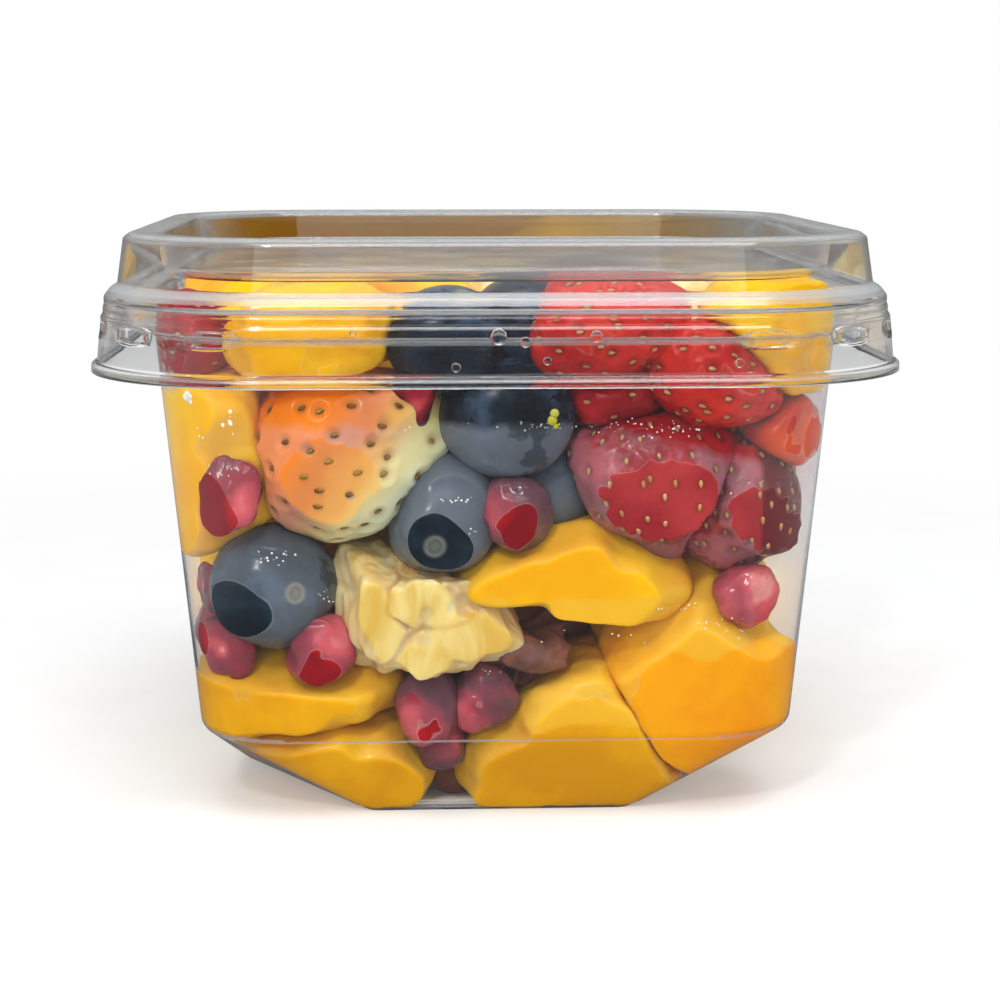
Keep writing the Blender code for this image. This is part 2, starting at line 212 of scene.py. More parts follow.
floor_size = 0.9
floor_mesh = bpy.data.meshes.new("floor")
corners = np.array([(-1, -1), (1, -1), (1, 1), (-1, 1)]) * floor_size
floor_mesh.from_pydata(np.column_stack([corners, np.zeros(4)]).tolist(), [], [(0, 1, 2, 3)])
floor = bpy.data.objects.new("floor", floor_mesh)
scene.collection.objects.link(floor)
paper, tree = new_material("floor_paper", bare=True)
place = own_place(tree)
grain = ramp(tree, noise(tree, place, 60.0), (
    (0.3, (0.90,) * 3 + (1,)), (0.7, (0.93,) * 3 + (1,))))
lit = node(tree, "ShaderNodeBsdfPrincipled", {"Roughness": 0.7, "Base Color": grain})
white = node(tree, "ShaderNodeEmission", {"Color": (1, 1, 1, 1), "Strength": 1.0})
dark = node(tree, "ShaderNodeEmission", {"Color": (0.10, 0.11, 0.13, 1), "Strength": 1.0})
# To the eye it turns white away from the tub; where it is mirrored in the plastic, and
# a little where it lights the fruit, it is dark.
path, mirrored = light_path(tree)
away = node(tree, "ShaderNodeVectorMath", {0: place}, operation="LENGTH").outputs["Value"]
share = between(tree, away, 0.07, 0.30, 0.25, 1.0)
seen = maths(tree, "MULTIPLY", path["Is Camera Ray"], share)
open_floor = blend(tree, seen, lit.outputs[0], white.outputs[0])
beside = maths(tree, "ABSOLUTE", split(tree, place)["X"])
beside = between(tree, beside, 0.09, 0.18, 0.92, 0.45)
dimmed = maths(tree, "ADD", maths(tree, "MULTIPLY", mirrored, beside),
               maths(tree, "MULTIPLY", path["Is Diffuse Ray"], 0.35), clamp=True)
node(tree, "ShaderNodeOutputMaterial", {"Surface": blend(
    tree, dimmed, open_floor, dark.outputs[0])})
floor_mesh.materials.append(paper)


# -------------------------------------------------------------------------------- tub
# One sheet of clear plastic, drawn into a mould: an eight-cornered floor, slanted
# facets up to a fold, straight tapered walls with round corners, a step and a rim.
sheet = 0.42  # thickness, mm
fold_z, fold_half, fold_round = 12.1, 43.2, 13.0
step_z, step_half, step_round = 69.3, 49.0, 21.2
floor_side, floor_front = (37.6, 10.7), (18.5, 37.2)
floor_corner_round = 2.2
facet_way = math.atan2(floor_side[0] - floor_front[0], floor_front[1] - floor_side[1])
facet_turn = math.radians(1.5)
# A quarter of the outline is a straight side, a sweep up to the facet, the facet, a
# sweep on from it and a straight side, with this many points on each.
side_count, sweep_a, facet_count, sweep_b = 6, 14, 7, 20
shares = [np.linspace(0, 1, count, endpoint=False)
          for count in (side_count, sweep_a, facet_count, sweep_b)]
shares.append(np.linspace(0, 1, side_count + 1))
sweeps = ((0, 0), (0, facet_way - facet_turn),
          (facet_way - facet_turn, facet_way + facet_turn),
          (facet_way + facet_turn, math.pi / 2), (math.pi / 2, math.pi / 2))
tub_angles = np.concatenate([a + (b - a) * s for (a, b), s in zip(sweeps, shares)])
tub_ways = np.stack([np.cos(tub_angles), np.sin(tub_angles)], 1)


def all_round(quarter):
    """A quarter of an outline mirrored into the whole ring, anticlockwise from +X."""
    return np.concatenate([quarter[:-1], (quarter * (-1, 1))[::-1][:-1],
                           -quarter[:-1], (quarter * (1, -1))[::-1][:-1]])


def square_quarter(half, rounding):
    """Rounded square: straight, a corner arc, straight, at the tub's own angles."""
    middle = half - rounding
    points = middle + rounding * tub_ways
    points[:side_count, 1] = middle * shares[0]
    points[-len(shares[4]):, 0] = middle * (1 - shares[4])
    return points


def floor_quarter(inset):
    """Floor panel: a rectangle with cut corners, each of its points slightly rounded.
    The slanting facets carry it in by more than the sheet's thickness."""
    hx, ey = floor_side[0] - 1.2 * inset, floor_side[1] - 0.5 * inset
    hy = floor_front[1] - 1.2 * inset
    rounding = floor_corner_round
    along = np.array([math.cos(facet_way), math.sin(facet_way)])
    reach = along @ (hx, ey) - rounding
    first = np.array([hx - rounding, (reach - along[0] * (hx - rounding)) / along[1]])
    last = np.array([(reach - along[1] * (hy - rounding)) / along[0], hy - rounding])
    centres = np.concatenate([
        np.outer(shares[0], (0, first[1])) + (first[0], 0),
        np.repeat(first[None], sweep_a, 0),
        first + np.outer(shares[2], last - first),
        np.repeat(last[None], sweep_b, 0),
        np.outer(1 - shares[4], (last[0], 0)) + (0, last[1])])
    return centres + rounding * tub_ways


def height_shares(z):
    """How much of the floor, the fold and the step outline a height holds, the changes
    eased over 0.9 mm so that the folds are round."""
    ease = np.linspace(-0.9, 0.9, 9)
    at = np.clip(np.asarray(z, float)[..., None] + ease, 0, step_z)
    low = np.interp(at, (0, fold_z, step_z), (1, 0, 0)).mean(-1)
    high = np.interp(at, (0, fold_z, step_z), (0, 0, 1)).mean(-1)
    return low, 1 - low - high, high


def tub_outline(z, inset):
    """The wall's outline at a height: the floor's, the fold's and the step's outlines
    added point by point in that height's shares, which keeps every facet flat."""
    low, mid, high = height_shares(z)
    return all_round(low * floor_quarter(inset)
                     + mid * square_quarter(fold_half - inset, fold_round - inset)
                     + high * square_quarter(step_half - inset, step_round - inset))


def ring_at(outline, z):
    """An outline lifted to a height."""
    return np.column_stack([outline, np.full(len(outline), z)])


def eased_profile(points, reach=0.35):
    """A profile of (height, half, rounding) rows with each corner drawn round: the two
    sides are cut back by reach and joined by a quadratic curve."""
    points = np.array(points, float)
    rows = [points[:1]]
    t = np.linspace(0, 1, 5)[:, None]
    for before, here, after in zip(points, points[1:], points[2:]):
        into, out = before - here, after - here
        into *= min(0.45, reach / max(np.linalg.norm(into[:2]), 1e-6))
        out *= min(0.45, reach / max(np.linalg.norm(out[:2]), 1e-6))
        rows.append((1 - t) ** 2 * (here + into) + 2 * t * (1 - t) * here
                    + t ** 2 * (here + out))
    rows.append(points[-1:])
    return np.concatenate(rows)


def smooth_mesh(name, points, faces, materials, outward=False):
    """Smooth mesh of points in mm; outward makes every face look out of it."""
    mesh = bpy.data.meshes.new(name)
    mesh.from_pydata((points * MM).tolist(), [], faces)
    if outward:
        bm = bmesh.new()
        bm.from_mesh(mesh)
        bmesh.ops.recalc_face_normals(bm, faces=bm.faces)
        bm.to_mesh(mesh)
        bm.free()
    mesh.shade_smooth()
    for finish in materials:
        mesh.materials.append(finish)
    return mesh


def set_piece(mesh, slot, stands_for=None):
    """The object of a finished mesh, which keeps still with the tub."""
    piece = bpy.data.objects.new(mesh.name, mesh)
    scene.collection.objects.link(piece)
    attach(piece, "root")
    if stands_for:
        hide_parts(stands_for)
    return piece


def shell_mesh(name, outside, inside, materials, milky):
    """Sheet with a thickness. Both sides are rings from the open edge to the middle,
    each closed there by a fan, and the two open edges are joined. The second material
    goes on the slanting faces between the heights in milky."""
    around = outside.shape[1]
    blocks, faces, start = [], [], 0
    step = np.arange(around)
    after = (step + 1) % around
    for side, rings in enumerate((outside, inside)):
        rows = len(rings)
        blocks += [rings.reshape(-1, 3), rings[-1].mean(0)[None]]
        a = start + np.arange(rows - 1)[:, None] * around
        quads = np.stack([a + step, a + after, a + around + after, a + around + step], -1)
        quads = quads.reshape(-1, 4)
        top = start + (rows - 1) * around
        fan = np.stack([top + step, top + after, np.full(around, start + rows * around)], -1)
        faces += (quads[:, ::-1] if side else quads).tolist()
        faces += (fan[:, ::-1] if side else fan).tolist()
        start += rows * around + 1
    inner = len(outside) * around + 1
    faces += np.stack([inner + step, inner + after, after, step], -1).tolist()
    mesh = smooth_mesh(name, np.concatenate(blocks), faces, materials, outward=True)
    middles, slopes = (np.empty(len(mesh.polygons) * 3) for _ in range(2))
    mesh.polygons.foreach_get("center", middles)
    mesh.polygons.foreach_get("normal", slopes)
    z = middles[2::3] / MM
    chosen = sum(((z > a) & (z < b) for a, b in milky), np.zeros(len(z), bool))
    chosen &= np.abs(slopes[2::3]) > 0.25
    mesh.polygons.foreach_set("material_index", chosen.astype(np.int32))
    return mesh


def bumps(tree, height, strength, distance):
    """Normal of a surface that a height in 0 to 1 lifts by a distance in metres."""
    return node(tree, "ShaderNodeBump", {
        "Height": height, "Strength": strength, "Distance": distance}).outputs[0]


draw_depth = 0.0006  # of the marks that drawing leaves in the sheet, metres


def highlight_milky_plastic(name, through):
    """The same plastic where it was stretched round an edge: whitened and less clear, and
    whiter as painted highlight for the bright lines light draws on these bends.
    """
    made, tree = new_material(name, bare=True)
    whitened = node(tree, "ShaderNodeBsdfPrincipled", {
        "Base Color": (0.69, 0.71, 0.72, 1), "Roughness": 0.22, "IOR": 1.5,
        "Transmission Weight": through,
        "Normal": bumps(tree, noise(tree, own_place(tree), 90.0), 0.3, draw_depth)})
    open_way = node(tree, "ShaderNodeBsdfTransparent", {"Color": (0.9, 0.92, 0.93, 1)})
    shadow = node(tree, "ShaderNodeLightPath").outputs["Is Shadow Ray"]
    node(tree, "ShaderNodeOutputMaterial", {"Surface": blend(
        tree, shadow, whitened.outputs[0], open_way.outputs[0])})
    return made


def clear_plastic(name, haze, index):
    """Clear glossy plastic with faint draw marks; lamps and soft light pass through."""
    made, tree = new_material(name, bare=True)
    place = own_place(tree)
    rough = ramp(tree, noise(tree, place, 140.0, 3.0), (
        (0.35, (0.02,) * 3 + (1,)), (0.75, (haze,) * 3 + (1,))))
    gloss = node(tree, "ShaderNodeBsdfPrincipled", {
        "Base Color": (1, 1, 1, 1), "Roughness": rough, "IOR": index,
        "Transmission Weight": 1.0,
        "Normal": bumps(tree, noise(tree, place, 55.0, 1.5), 0.12, draw_depth)})
    open_way = node(tree, "ShaderNodeBsdfTransparent", {"Color": (0.97, 0.98, 0.98, 1)})
    path = node(tree, "ShaderNodeLightPath").outputs
    lit = blend(tree, path["Is Diffuse Ray"], gloss.outputs[0], open_way.outputs[0])
    node(tree, "ShaderNodeOutputMaterial", {"Surface": blend(
        tree, path["Is Shadow Ray"], lit, open_way.outputs[0])})
    return made


def tub_side(inset):
    """One side of the tub's sheet as rings from the rim down the wall to the floor. The
    collar runs from the rim's edge, in under it and down to the step."""
    collar = [
        (step_z + 4.9 - inset, step_half + 5.3 - inset, step_round + 4.4 - inset),
        (step_z + 4.1 + inset, step_half + 5.3 - inset, step_round + 4.4 - inset),
        (step_z + 4.1 + inset, step_half + 3.9 - inset, step_round + 3.7 - inset),
        (step_z + 0.3 + inset, step_half + 3.2 - inset, step_round + 3.2 - inset),
        (step_z + inset, step_half + 0.1 - inset, step_round - inset)]
    if inset:
        collar[0] = (step_z + 4.9, step_half + 4.9, step_round + 4.2)
        collar[1] = (step_z + 4.1 + 0.8 * inset, step_half + 4.6, step_round + 4.1)
    rings = [ring_at(all_round(square_quarter(h, r)), z)
             for z, h, r in eased_profile(collar)]
    heights = np.concatenate([
        np.linspace(step_z - 0.5 + inset, fold_z + 1.4, 12), np.linspace(
            fold_z + 1.1, fold_z - 1.1, 8), np.linspace(fold_z - 1.6, 0.9, 6)])
    rings += [ring_at(tub_outline(z, inset), max(z, inset)) for z in heights]
    panel = all_round(floor_quarter(inset))
    for share, z in ((0.9995, 0.45), (0.997, 0.2), (0.992, 0.06), (0.984, 0.0),
                     (0.95, 0.0), (0.85, 0.0), (0.6, 0.0), (0.3, 0.0), (0.04, 0.0)):
        rings.append(ring_at(panel * share, z + inset))
    return np.array(rings)


tub_plastic = clear_plastic("tub_plastic", 0.05, 1.45)
# Whitened bands on the bends, made whiter as painted highlight.
milk = highlight_milky_plastic("whitened_highlight_plastic", 0.8)
tub_milky = ((69.0, 69.8), (73.2, 74.4), (12.05, 12.45))  # step, rim and fold
set_piece(shell_mesh("tub_wall", tub_side(0.0), tub_side(sheet), (tub_plastic, milk),
                     tub_milky), "tub_plastic", "tub")


# -------------------------------------------------------------------------------- lid
# A second sheet of clear plastic: a lip, a skirt over the tub's rim, a ledge, and a
# raised ring round a sunk panel. Oval dimples at the corners of the skirt hold it on.
lid_profile = (
    (64.0, 57.6, 27.0), (65.1, 57.6, 27.0), (65.5, 56.8, 26.5), (68.0, 56.55, 26.3),
    (69.0, 56.5, 26.2), (71.7, 56.2, 26.0), (72.1, 55.9, 25.8), (73.1, 55.85, 25.7),
    (73.3, 55.7, 25.6), (74.5, 55.7, 25.6), (75.7, 54.8, 25.2), (76.2, 53.9, 24.8),
    (82.6, 53.0, 24.3), (83.3, 52.1, 23.7), (83.3, 48.6, 21.2), (82.7, 47.9, 20.6),
    (78.4, 47.3, 20.0), (77.6, 46.4, 19.4), (77.6, 43.0, 16.4), (77.6, 38.0, 13.4))


def lid_ring(half, rounding, z):
    """Rounded square with even steps round each corner."""
    steps, straight = 56, 12
    turn = np.radians(np.linspace(0, 90, steps + 1))
    middle = half - rounding
    corner = middle + rounding * np.stack([np.cos(turn), np.sin(turn)], 1)
    share = np.linspace(0, 1, straight + 1)[:-1, None]
    before = np.array([half, 0]) + share * (0, middle)
    quarter = np.concatenate([before, corner, before[::-1, ::-1]])
    return ring_at(all_round(quarter), z)


def sheet_inside(profile, by):
    """The profile moved square to itself, towards the inside, by the sheet's thickness."""
    points = np.array([(half, z) for z, half, _ in profile])
    steps = np.diff(points, axis=0)
    square = np.stack([steps[:, 1], -steps[:, 0]], 1)
    square /= np.linalg.norm(square, axis=1)[:, None]
    before = np.concatenate([square[:1], square])
    after = np.concatenate([square, square[-1:]])
    moved = points - by * (before + after) / (1 + np.sum(before * after, 1))[:, None]
    moved[0, 1] = points[0, 1]
    return [(z, half, row[2] + half - row[1]) for (half, z), row in zip(moved, profile)]


def lid_side(profile):
    """One side of the lid's sheet as rings from the lip to the sunk panel."""
    return np.array([lid_ring(half, rounding, z)
                     for z, half, rounding in eased_profile(profile, reach=0.3)])


def dense_skirt(profile):
    """The profile with a row every 0.28 mm where the dimples are."""
    rows = []
    for a, b in zip(profile, profile[1:]):
        rows.append(a)
        if 68.0 <= a[0] < 71.5:
            count = int((b[0] - a[0]) / 0.28)
            rows += [tuple(np.array(a) + (np.array(b) - a) * k / count)
                     for k in range(1, count)]
    return rows + [profile[-1]]


dimple_turns, dimple_z, dimple_half = (32.5, 43.5, 54.5), 70.1, (3.0, 1.15)
dimple_depth = 0.55


def dimple(points):
    """Push the skirt in at three ovals round each corner, with soft edges."""
    angle = np.degrees(np.arctan2(points[..., 1], points[..., 0])) % 90
    reach = np.hypot(points[..., 0], points[..., 1])
    push = np.zeros(angle.shape)
    for at in dimple_turns:
        along = np.radians(angle - at) * reach / dimple_half[0]
        up = (points[..., 2] - dimple_z) / dimple_half[1]
        oval = (np.abs(along) ** 3 + np.abs(up) ** 3) ** (1 / 3)
        push = np.maximum(push, np.clip((1.18 - oval) / 0.36, 0, 1))
    push = push * push * (3 - 2 * push) * dimple_depth
    points[..., :2] *= (1 - push / reach)[..., None]
    return points


lid_plastic = clear_plastic("lid_plastic", 0.05, 1.57)
rows = dense_skirt(lid_profile)
lid_milky = ((75.0, 76.3), (63.5, 64.9), (82.8, 83.4))  # shoulder, lip and ring
set_piece(shell_mesh("lid_sheet", dimple(lid_side(rows)),
                     dimple(lid_side(sheet_inside(rows, sheet))), (lid_plastic, milk),
                     lid_milky), "lid_plastic", "lid")


# ------------------------------------------------------------------- fruit in general
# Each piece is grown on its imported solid: the solid's faces give a reach in every
# direction, which is softened, given the fruit's own relief, and pressed on the wall.
def ripples(points, size, seed):
    """Smooth random waves of about one unit: cosines of one wavelength, many ways."""
    rng, count = np.random.default_rng(seed), 20
    ways = rng.normal(size=(count, 3))
    ways *= (rng.uniform(0.7, 1.35, count) * 2 * math.pi / size
             / np.linalg.norm(ways, axis=1))[:, None]
    return np.cos(points @ ways.T + rng.uniform(0, 2 * math.pi, count)).sum(-1) * (
        2 / count) ** 0.5


def compass(pole, around, down):
    """Unit ways on a grid round a pole: turn u round it, angle v down from it."""
    pole = np.array(pole, float) / np.linalg.norm(pole)
    side = np.cross(pole, (0.0, 0.0, 1.0) if abs(pole[2]) < 0.9 else (0.0, 1.0, 0.0))
    side /= np.linalg.norm(side)
    u = np.arange(around) * 2 * math.pi / around
    v = (np.arange(down) + 0.5) * math.pi / down
    ring = np.outer(np.cos(u), side) + np.outer(np.sin(u), np.cross(pole, side))
    return np.sin(v)[:, None, None] * ring + np.cos(v)[:, None, None] * pole


def soften(reach, angle):
    """Smooth a reach over the sphere: a Gaussian blur round each parallel and along
    each whole meridian, done on their waves."""
    down, around = reach.shape
    wave = np.fft.rfftfreq(around, 1 / around)
    v = (np.arange(down) + 0.5) * math.pi / down
    blur = np.exp(-0.5 * (wave * angle / np.sin(v)[:, None]) ** 2)
    reach = np.fft.irfft(np.fft.rfft(reach, axis=1) * blur, around, axis=1)
    half = around // 2
    loop = np.concatenate([reach[:, :half], reach[::-1, half:]])
    wave = np.fft.rfftfreq(2 * down, 0.5 / down)[:, None]
    loop = np.fft.irfft(np.fft.rfft(loop, axis=0) * np.exp(-0.5 * (wave * angle) ** 2),
                        2 * down, axis=0)
    return np.concatenate([loop[:down], loop[down:][::-1]], axis=1)


def packed_reach(name, ways):
    """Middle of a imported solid, and how far its faces let each way go."""
    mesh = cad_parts[name].data
    count = len(mesh.polygons)
    normals, centres, areas = np.empty(count * 3), np.empty(count * 3), np.empty(count)
    for key, numbers in (("normal", normals), ("center", centres), ("area", areas)):
        mesh.polygons.foreach_get(key, numbers)
    normals, centres = normals.reshape(-1, 3), centres.reshape(-1, 3) / MM
    middle = (centres * areas[:, None]).sum(0) / areas.sum()
    far = np.sum(normals * (centres - middle), axis=1)
    real = (areas > 1e-10) & (far > 0.1)
    slopes = ways.reshape(-1, 3) @ (normals[real] / far[real][:, None]).T
    return middle, (1 / slopes.max(1)).reshape(ways.shape[:2])


facet_turns = [facet_way, -facet_way, facet_way + math.pi, math.pi - facet_way]
wall_turns = np.concatenate([np.radians(np.arange(0, 360, 3)), facet_turns])
wall_ways = np.stack([np.cos(wall_turns), np.sin(wall_turns)], 1)


def wall_gap(points):
    """Distance from points to the tub's inner wall, and the level way to it. Each
    upright tangent plane of the wall lies at its outline's reach at that height."""
    low, mid, high = height_shares(np.clip(points[..., 2], 0, None))
    reaches = [square_reach(fold_half - sheet, fold_round - sheet),
               square_reach(step_half - sheet, step_round - sheet)]
    panel = (all_round(floor_quarter(sheet)) @ wall_ways.T).max(0)
    reach = (low[..., None] * panel + mid[..., None] * reaches[0]
             + high[..., None] * reaches[1])
    gaps = reach - points[..., :2] @ wall_ways.T
    nearest = gaps.argmin(-1)
    return np.take_along_axis(gaps, nearest[..., None], -1)[..., 0], wall_ways[nearest]


def square_reach(half, rounding):
    """Reach of a rounded square in each wall way."""
    return (half - rounding) * np.abs(wall_ways).sum(1) + rounding


wet, lid_under = 0.15, 77.0  # mm: how far fruit sinks into the plastic, and the panel


def press_on_wall(points, push):
    """Swell a skin towards the wall where it is within 3 mm, then flatten what passes
    it, so that it lies wet against the plastic. Returns the points and how deep each
    would have gone, in mm, which is below 0 where it hangs clear."""
    gap, way = wall_gap(points)
    near = np.clip((3.0 - gap) / 2.4, 0, 1)
    gap_now = gap - push * near * near * (3 - 2 * near)
    held = np.where(gap_now < 0, -wet * (1 - np.exp(np.minimum(gap_now, 0) / wet)),
                    gap_now)
    points = points.copy()
    points[..., :2] += way * (gap - held)[..., None]
    points[..., 2] = np.clip(points[..., 2], sheet * 0.7, lid_under)
    return points, -gap_now


def ring_quads(down, around):
    """Faces between rings of points, each joined to the ring below it."""
    step = np.arange(around)
    after = (step + 1) % around
    a = np.arange(down - 1)[:, None] * around
    return np.stack([a + step, a + around + step, a + around + after, a + after],
                    -1).reshape(-1, 4)


def skin_mesh(name, points, values, material):
    """Closed skin from a grid of rings with a point at each pole; values are named
    numbers kept at the points for the materials."""
    down, around = points.shape[:2]
    ends = points[[0, -1]].mean(1)
    verts = np.concatenate([points.reshape(-1, 3), ends])
    step = np.arange(around)
    after = (step + 1) % around
    top, last = down * around, (down - 1) * around
    first_fan = np.stack([step, after, np.full(around, top)], -1)
    last_fan = np.stack([last + after, last + step, np.full(around, top + 1)], -1)
    mesh = smooth_mesh(name, verts, ring_quads(down, around).tolist()
                       + first_fan.tolist() + last_fan.tolist(), [material])
    for key, value in values.items():
        value = np.concatenate([value.ravel(), value[[0, -1]].mean(1)])
        mesh.attributes.new(key, "FLOAT", "POINT").data.foreach_set("value", value)
    return mesh


def knife(reach, ways, seed):
    """Cut flat faces: six planes square to one another, each at 0.7 to 0.86 of how far
    the piece reaches along its own way."""
    rng = np.random.default_rng(seed)
    axes = np.linalg.qr(rng.normal(size=(3, 3)))[0]
    for way in np.concatenate([axes, -axes]):
        facing = ways @ way
        far = (reach * facing).max() * rng.uniform(0.70, 0.86)
        reach = np.where(facing > 0.05, np.minimum(reach, far / np.maximum(facing, 0.05)),
                         reach)
    return reach


def settle(reach, ways, middle):
    """Let a low piece sink on to the floor: the way straight down is drawn out until it
    is 1 mm above it."""
    low = (middle + ways * reach[..., None])[..., 2].min()
    drop = min(low - 1.0, 12.0) if low < 20 else 0.0
    return reach + drop * np.exp(-(np.arccos(np.clip(-ways[..., 2], -1, 1)) / 0.85) ** 2)


def grow(name, material, slot, pole=(0, 0, 1), grid=(96, 60), edge=0.10, swell=0.3,
         push=0.45, lean=(0, 0), relief=None, tone=None, shade=None, cut=None):
    """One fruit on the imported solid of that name. relief(points, ways) gives the height
    of its own surface in mm, lean moves the pressed patch, tone(points, middle) a value
    for its colour, and shade(points, middle) how dark it is there. cut is the seed of the
    knife's cuts, for a piece that is cut and has settled."""
    ways = compass(pole, *grid)
    middle, reach = packed_reach(name, ways)
    if cut is not None:
        reach = knife(settle(reach, ways, middle), ways, cut)
    reach = soften(reach, edge) + swell
    points = middle + ways * reach[..., None]
    if relief is not None:
        points = points + ways * relief(points, ways, middle)[..., None]
    from_middle = points - middle
    level = wall_gap(middle)[1]
    along = from_middle[..., :2] @ np.array([-level[1], level[0]])
    shift = push + lean[0] * along + lean[1] * from_middle[..., 2]
    points, depth = press_on_wall(points, shift)
    values = {"press": depth}
    if tone is not None:
        values["tone"] = tone(points, middle)
    if shade is not None:
        values["shade"] = shade(points, middle)
    mesh = skin_mesh(name + "_skin", points, values, material)
    set_piece(mesh, slot, name)
    return mesh


def group(name, sockets_in, sockets_out):
    """Empty shader group with named sockets; returns it with its ends."""
    made = bpy.data.node_groups.new(name, "ShaderNodeTree")
    for label, kind, value in sockets_in:
        socket = made.interface.new_socket(label, in_out="INPUT", socket_type=kind)
        socket.default_value = value
    for label, kind in sockets_out:
        made.interface.new_socket(label, in_out="OUTPUT", socket_type=kind)
    return made, made.nodes.new("NodeGroupInput"), made.nodes.new("NodeGroupOutput")


def kept(tree, name):
    """A value kept at the points of a skin."""
    return node(tree, "ShaderNodeAttribute", attribute_name=name).outputs["Fac"]


# Where a fruit lies wet against the plastic it is deeper in colour, with a thin pale line of
# juice along the edge of the patch, painted bright as its highlight. Below the level of the
# juice's drips the plastic is fogged wherever no fruit touches it, which veils the fruit
# behind.
fog_top, fog_right = (0.0580, 0.0567), (0.0366, 0.0356)  # fog fades in, metres
wet_patch, start, end = group(
    "wet_patch",
    (("Clear", "NodeSocketColor", (0.8, 0.5, 0.1, 1)),
     ("Pressed", "NodeSocketColor", (0.7, 0.4, 0.05, 1)),
     ("Line", "NodeSocketFloat", 0.3), ("Fog", "NodeSocketFloat", 0.15)),
    (("Colour", "NodeSocketColor"), ("Patch", "NodeSocketFloat")))
place = own_place(wet_patch)
# The patch is where the skin is pressed, with a ragged edge, and the line runs round it.
depth = kept(wet_patch, "press")
ragged = maths(wet_patch, "SUBTRACT", noise(wet_patch, place, 260.0, 3.0), 0.5)
depth = maths(wet_patch, "MULTIPLY_ADD", ragged, 0.3, depth)
patch = between(wet_patch, depth, 0.0, 0.05)
# The line is the juice at the patch's edge, painted pale as its highlight.
juice_edge_glint = between(wet_patch, maths(wet_patch, "ABSOLUTE", depth), 0.035, 0.01)
juice_edge_glint = maths(wet_patch, "MULTIPLY", juice_edge_glint, start.outputs["Line"])
# The fog fades in under a ragged level that drops to the right, stops short of the
# right corner, is thinner at the left, and is thin in spots where drops gathered.
parts = split(wet_patch, place)
slant = between(wet_patch, parts["X"], 0.0135, 0.0335, 0.0, 0.0052)
level = maths(wet_patch, "ADD", parts["Z"], slant)
level = maths(wet_patch, "MULTIPLY_ADD", ragged, 0.003, level)
below = between(wet_patch, level, *fog_top)
across = maths(wet_patch, "MULTIPLY_ADD", ragged, 0.003, parts["X"])
across = between(wet_patch, across, *fog_right)
left = between(wet_patch, parts["X"], -0.034, -0.015, 0.6, 1.0)
cloudy = noise(wet_patch, place, 75.0, 4.0, Roughness=0.62)
drips = between(wet_patch, cloudy, 0.385, 0.41, 0.45, 1.0)
uneven = between(wet_patch, cloudy, 0.35, 0.7, 0.75, 1.2)
veil = start.outputs["Fog"]
for share in (below, across, left, drips, uneven):
    veil = maths(wet_patch, "MULTIPLY", veil, share)
veil = maths(wet_patch, "MULTIPLY", veil, maths(wet_patch, "SUBTRACT", 1.0, patch))
colour = mix(wet_patch, patch, start.outputs["Clear"], start.outputs["Pressed"])
colour = mix(wet_patch, veil, colour, (0.38, 0.435, 0.51, 1))
colour = mix(wet_patch, juice_edge_glint, colour, (0.95, 0.86, 0.72, 1))
feed(end, {"Colour": colour, "Patch": patch})


def flesh(name, build, rough=0.3, scatter=(0.25, (1.0, 0.45, 0.12), 0.004), bump=0.3,
          line=0.1, fog=0.06, coat=0.25):
    """Fruit material. build(tree, place) gives the dry colour, the pressed colour and a
    height; light scatters a little way in."""
    made, tree = new_material(name)
    dry, pressed, height = build(tree, own_place(tree))
    patch = node(tree, "ShaderNodeGroup", {
        "Clear": dry, "Pressed": pressed, "Line": line, "Fog": fog}, node_tree=wet_patch)
    weight, radius, scale = scatter
    feed(tree.nodes["Principled BSDF"], {
        "Base Color": patch.outputs["Colour"],
        "Roughness": maths(tree, "MULTIPLY_ADD", patch.outputs["Patch"], 0.4, rough),
        "Normal": bumps(tree, height, bump, 0.0008), "Subsurface Weight": weight,
        "Subsurface Radius": radius, "Subsurface Scale": scale, "IOR": 1.36,
        "Specular IOR Level": 0.2, "Coat Weight": coat, "Coat IOR": 1.33,
        "Coat Roughness": 0.06})
    return made


# ----------------------------------------------------------------------------- mangoes
# Ripe mango cut in chunks: smooth wet faces, edges rounded by the knife and by turning
# in the bowl, faint fibres, yellow to orange.
def mango_colours(pale, deep, pressed_pale, pressed_deep):
    """Cloudy from a pale to a deep colour, dry and pressed, paler where the tone says; the
    height is the cloud with fibres that run down the piece."""
    def build(tree, place):
        cloud = noise(tree, place, 70.0, 4.0, Roughness=0.55)
        turned = node(tree, "ShaderNodeMapping", {"Vector": place, "Scale": (1, 1, 0.16)})
        fibre = noise(tree, turned.outputs[0], 650.0)
        dry = ramp(tree, cloud, ((0.36, pale), (0.62, deep)))
        wet = ramp(tree, cloud, ((0.36, pressed_pale), (0.62, pressed_deep)))
        # Paler past the wavy line that the tone marks.
        cut = maths(tree, "MULTIPLY", kept(tree, "tone"), 0.8)
        dry = mix(tree, cut, dry, rgb(240, 186, 40))
        wet = mix(tree, cut, wet, rgb(240, 184, 44))
        return dry, wet, maths(tree, "MULTIPLY_ADD", fibre, 0.25, cloud)
    return build


def toward(ways, way, spread):
    """1 in one direction, falling off over an angle round it."""
    way = np.array(way, float) / np.linalg.norm(way)
    return np.exp(-(np.arccos(np.clip(ways @ way, -1, 1)) / spread) ** 2)


def paler_past_line(drop, wave, lift=1.0):
    """Tone that is paler under a wavy line, drop mm above a piece's middle; with lift -1 the
    paler side is the upper one."""
    def tone(points, middle):
        line = middle[2] + drop + wave * ripples(points * (1, 1, 0.1), 9.0, 77)
        return np.clip(0.5 + lift * (line - points[..., 2]) / 0.5, 0, 1)
    return tone


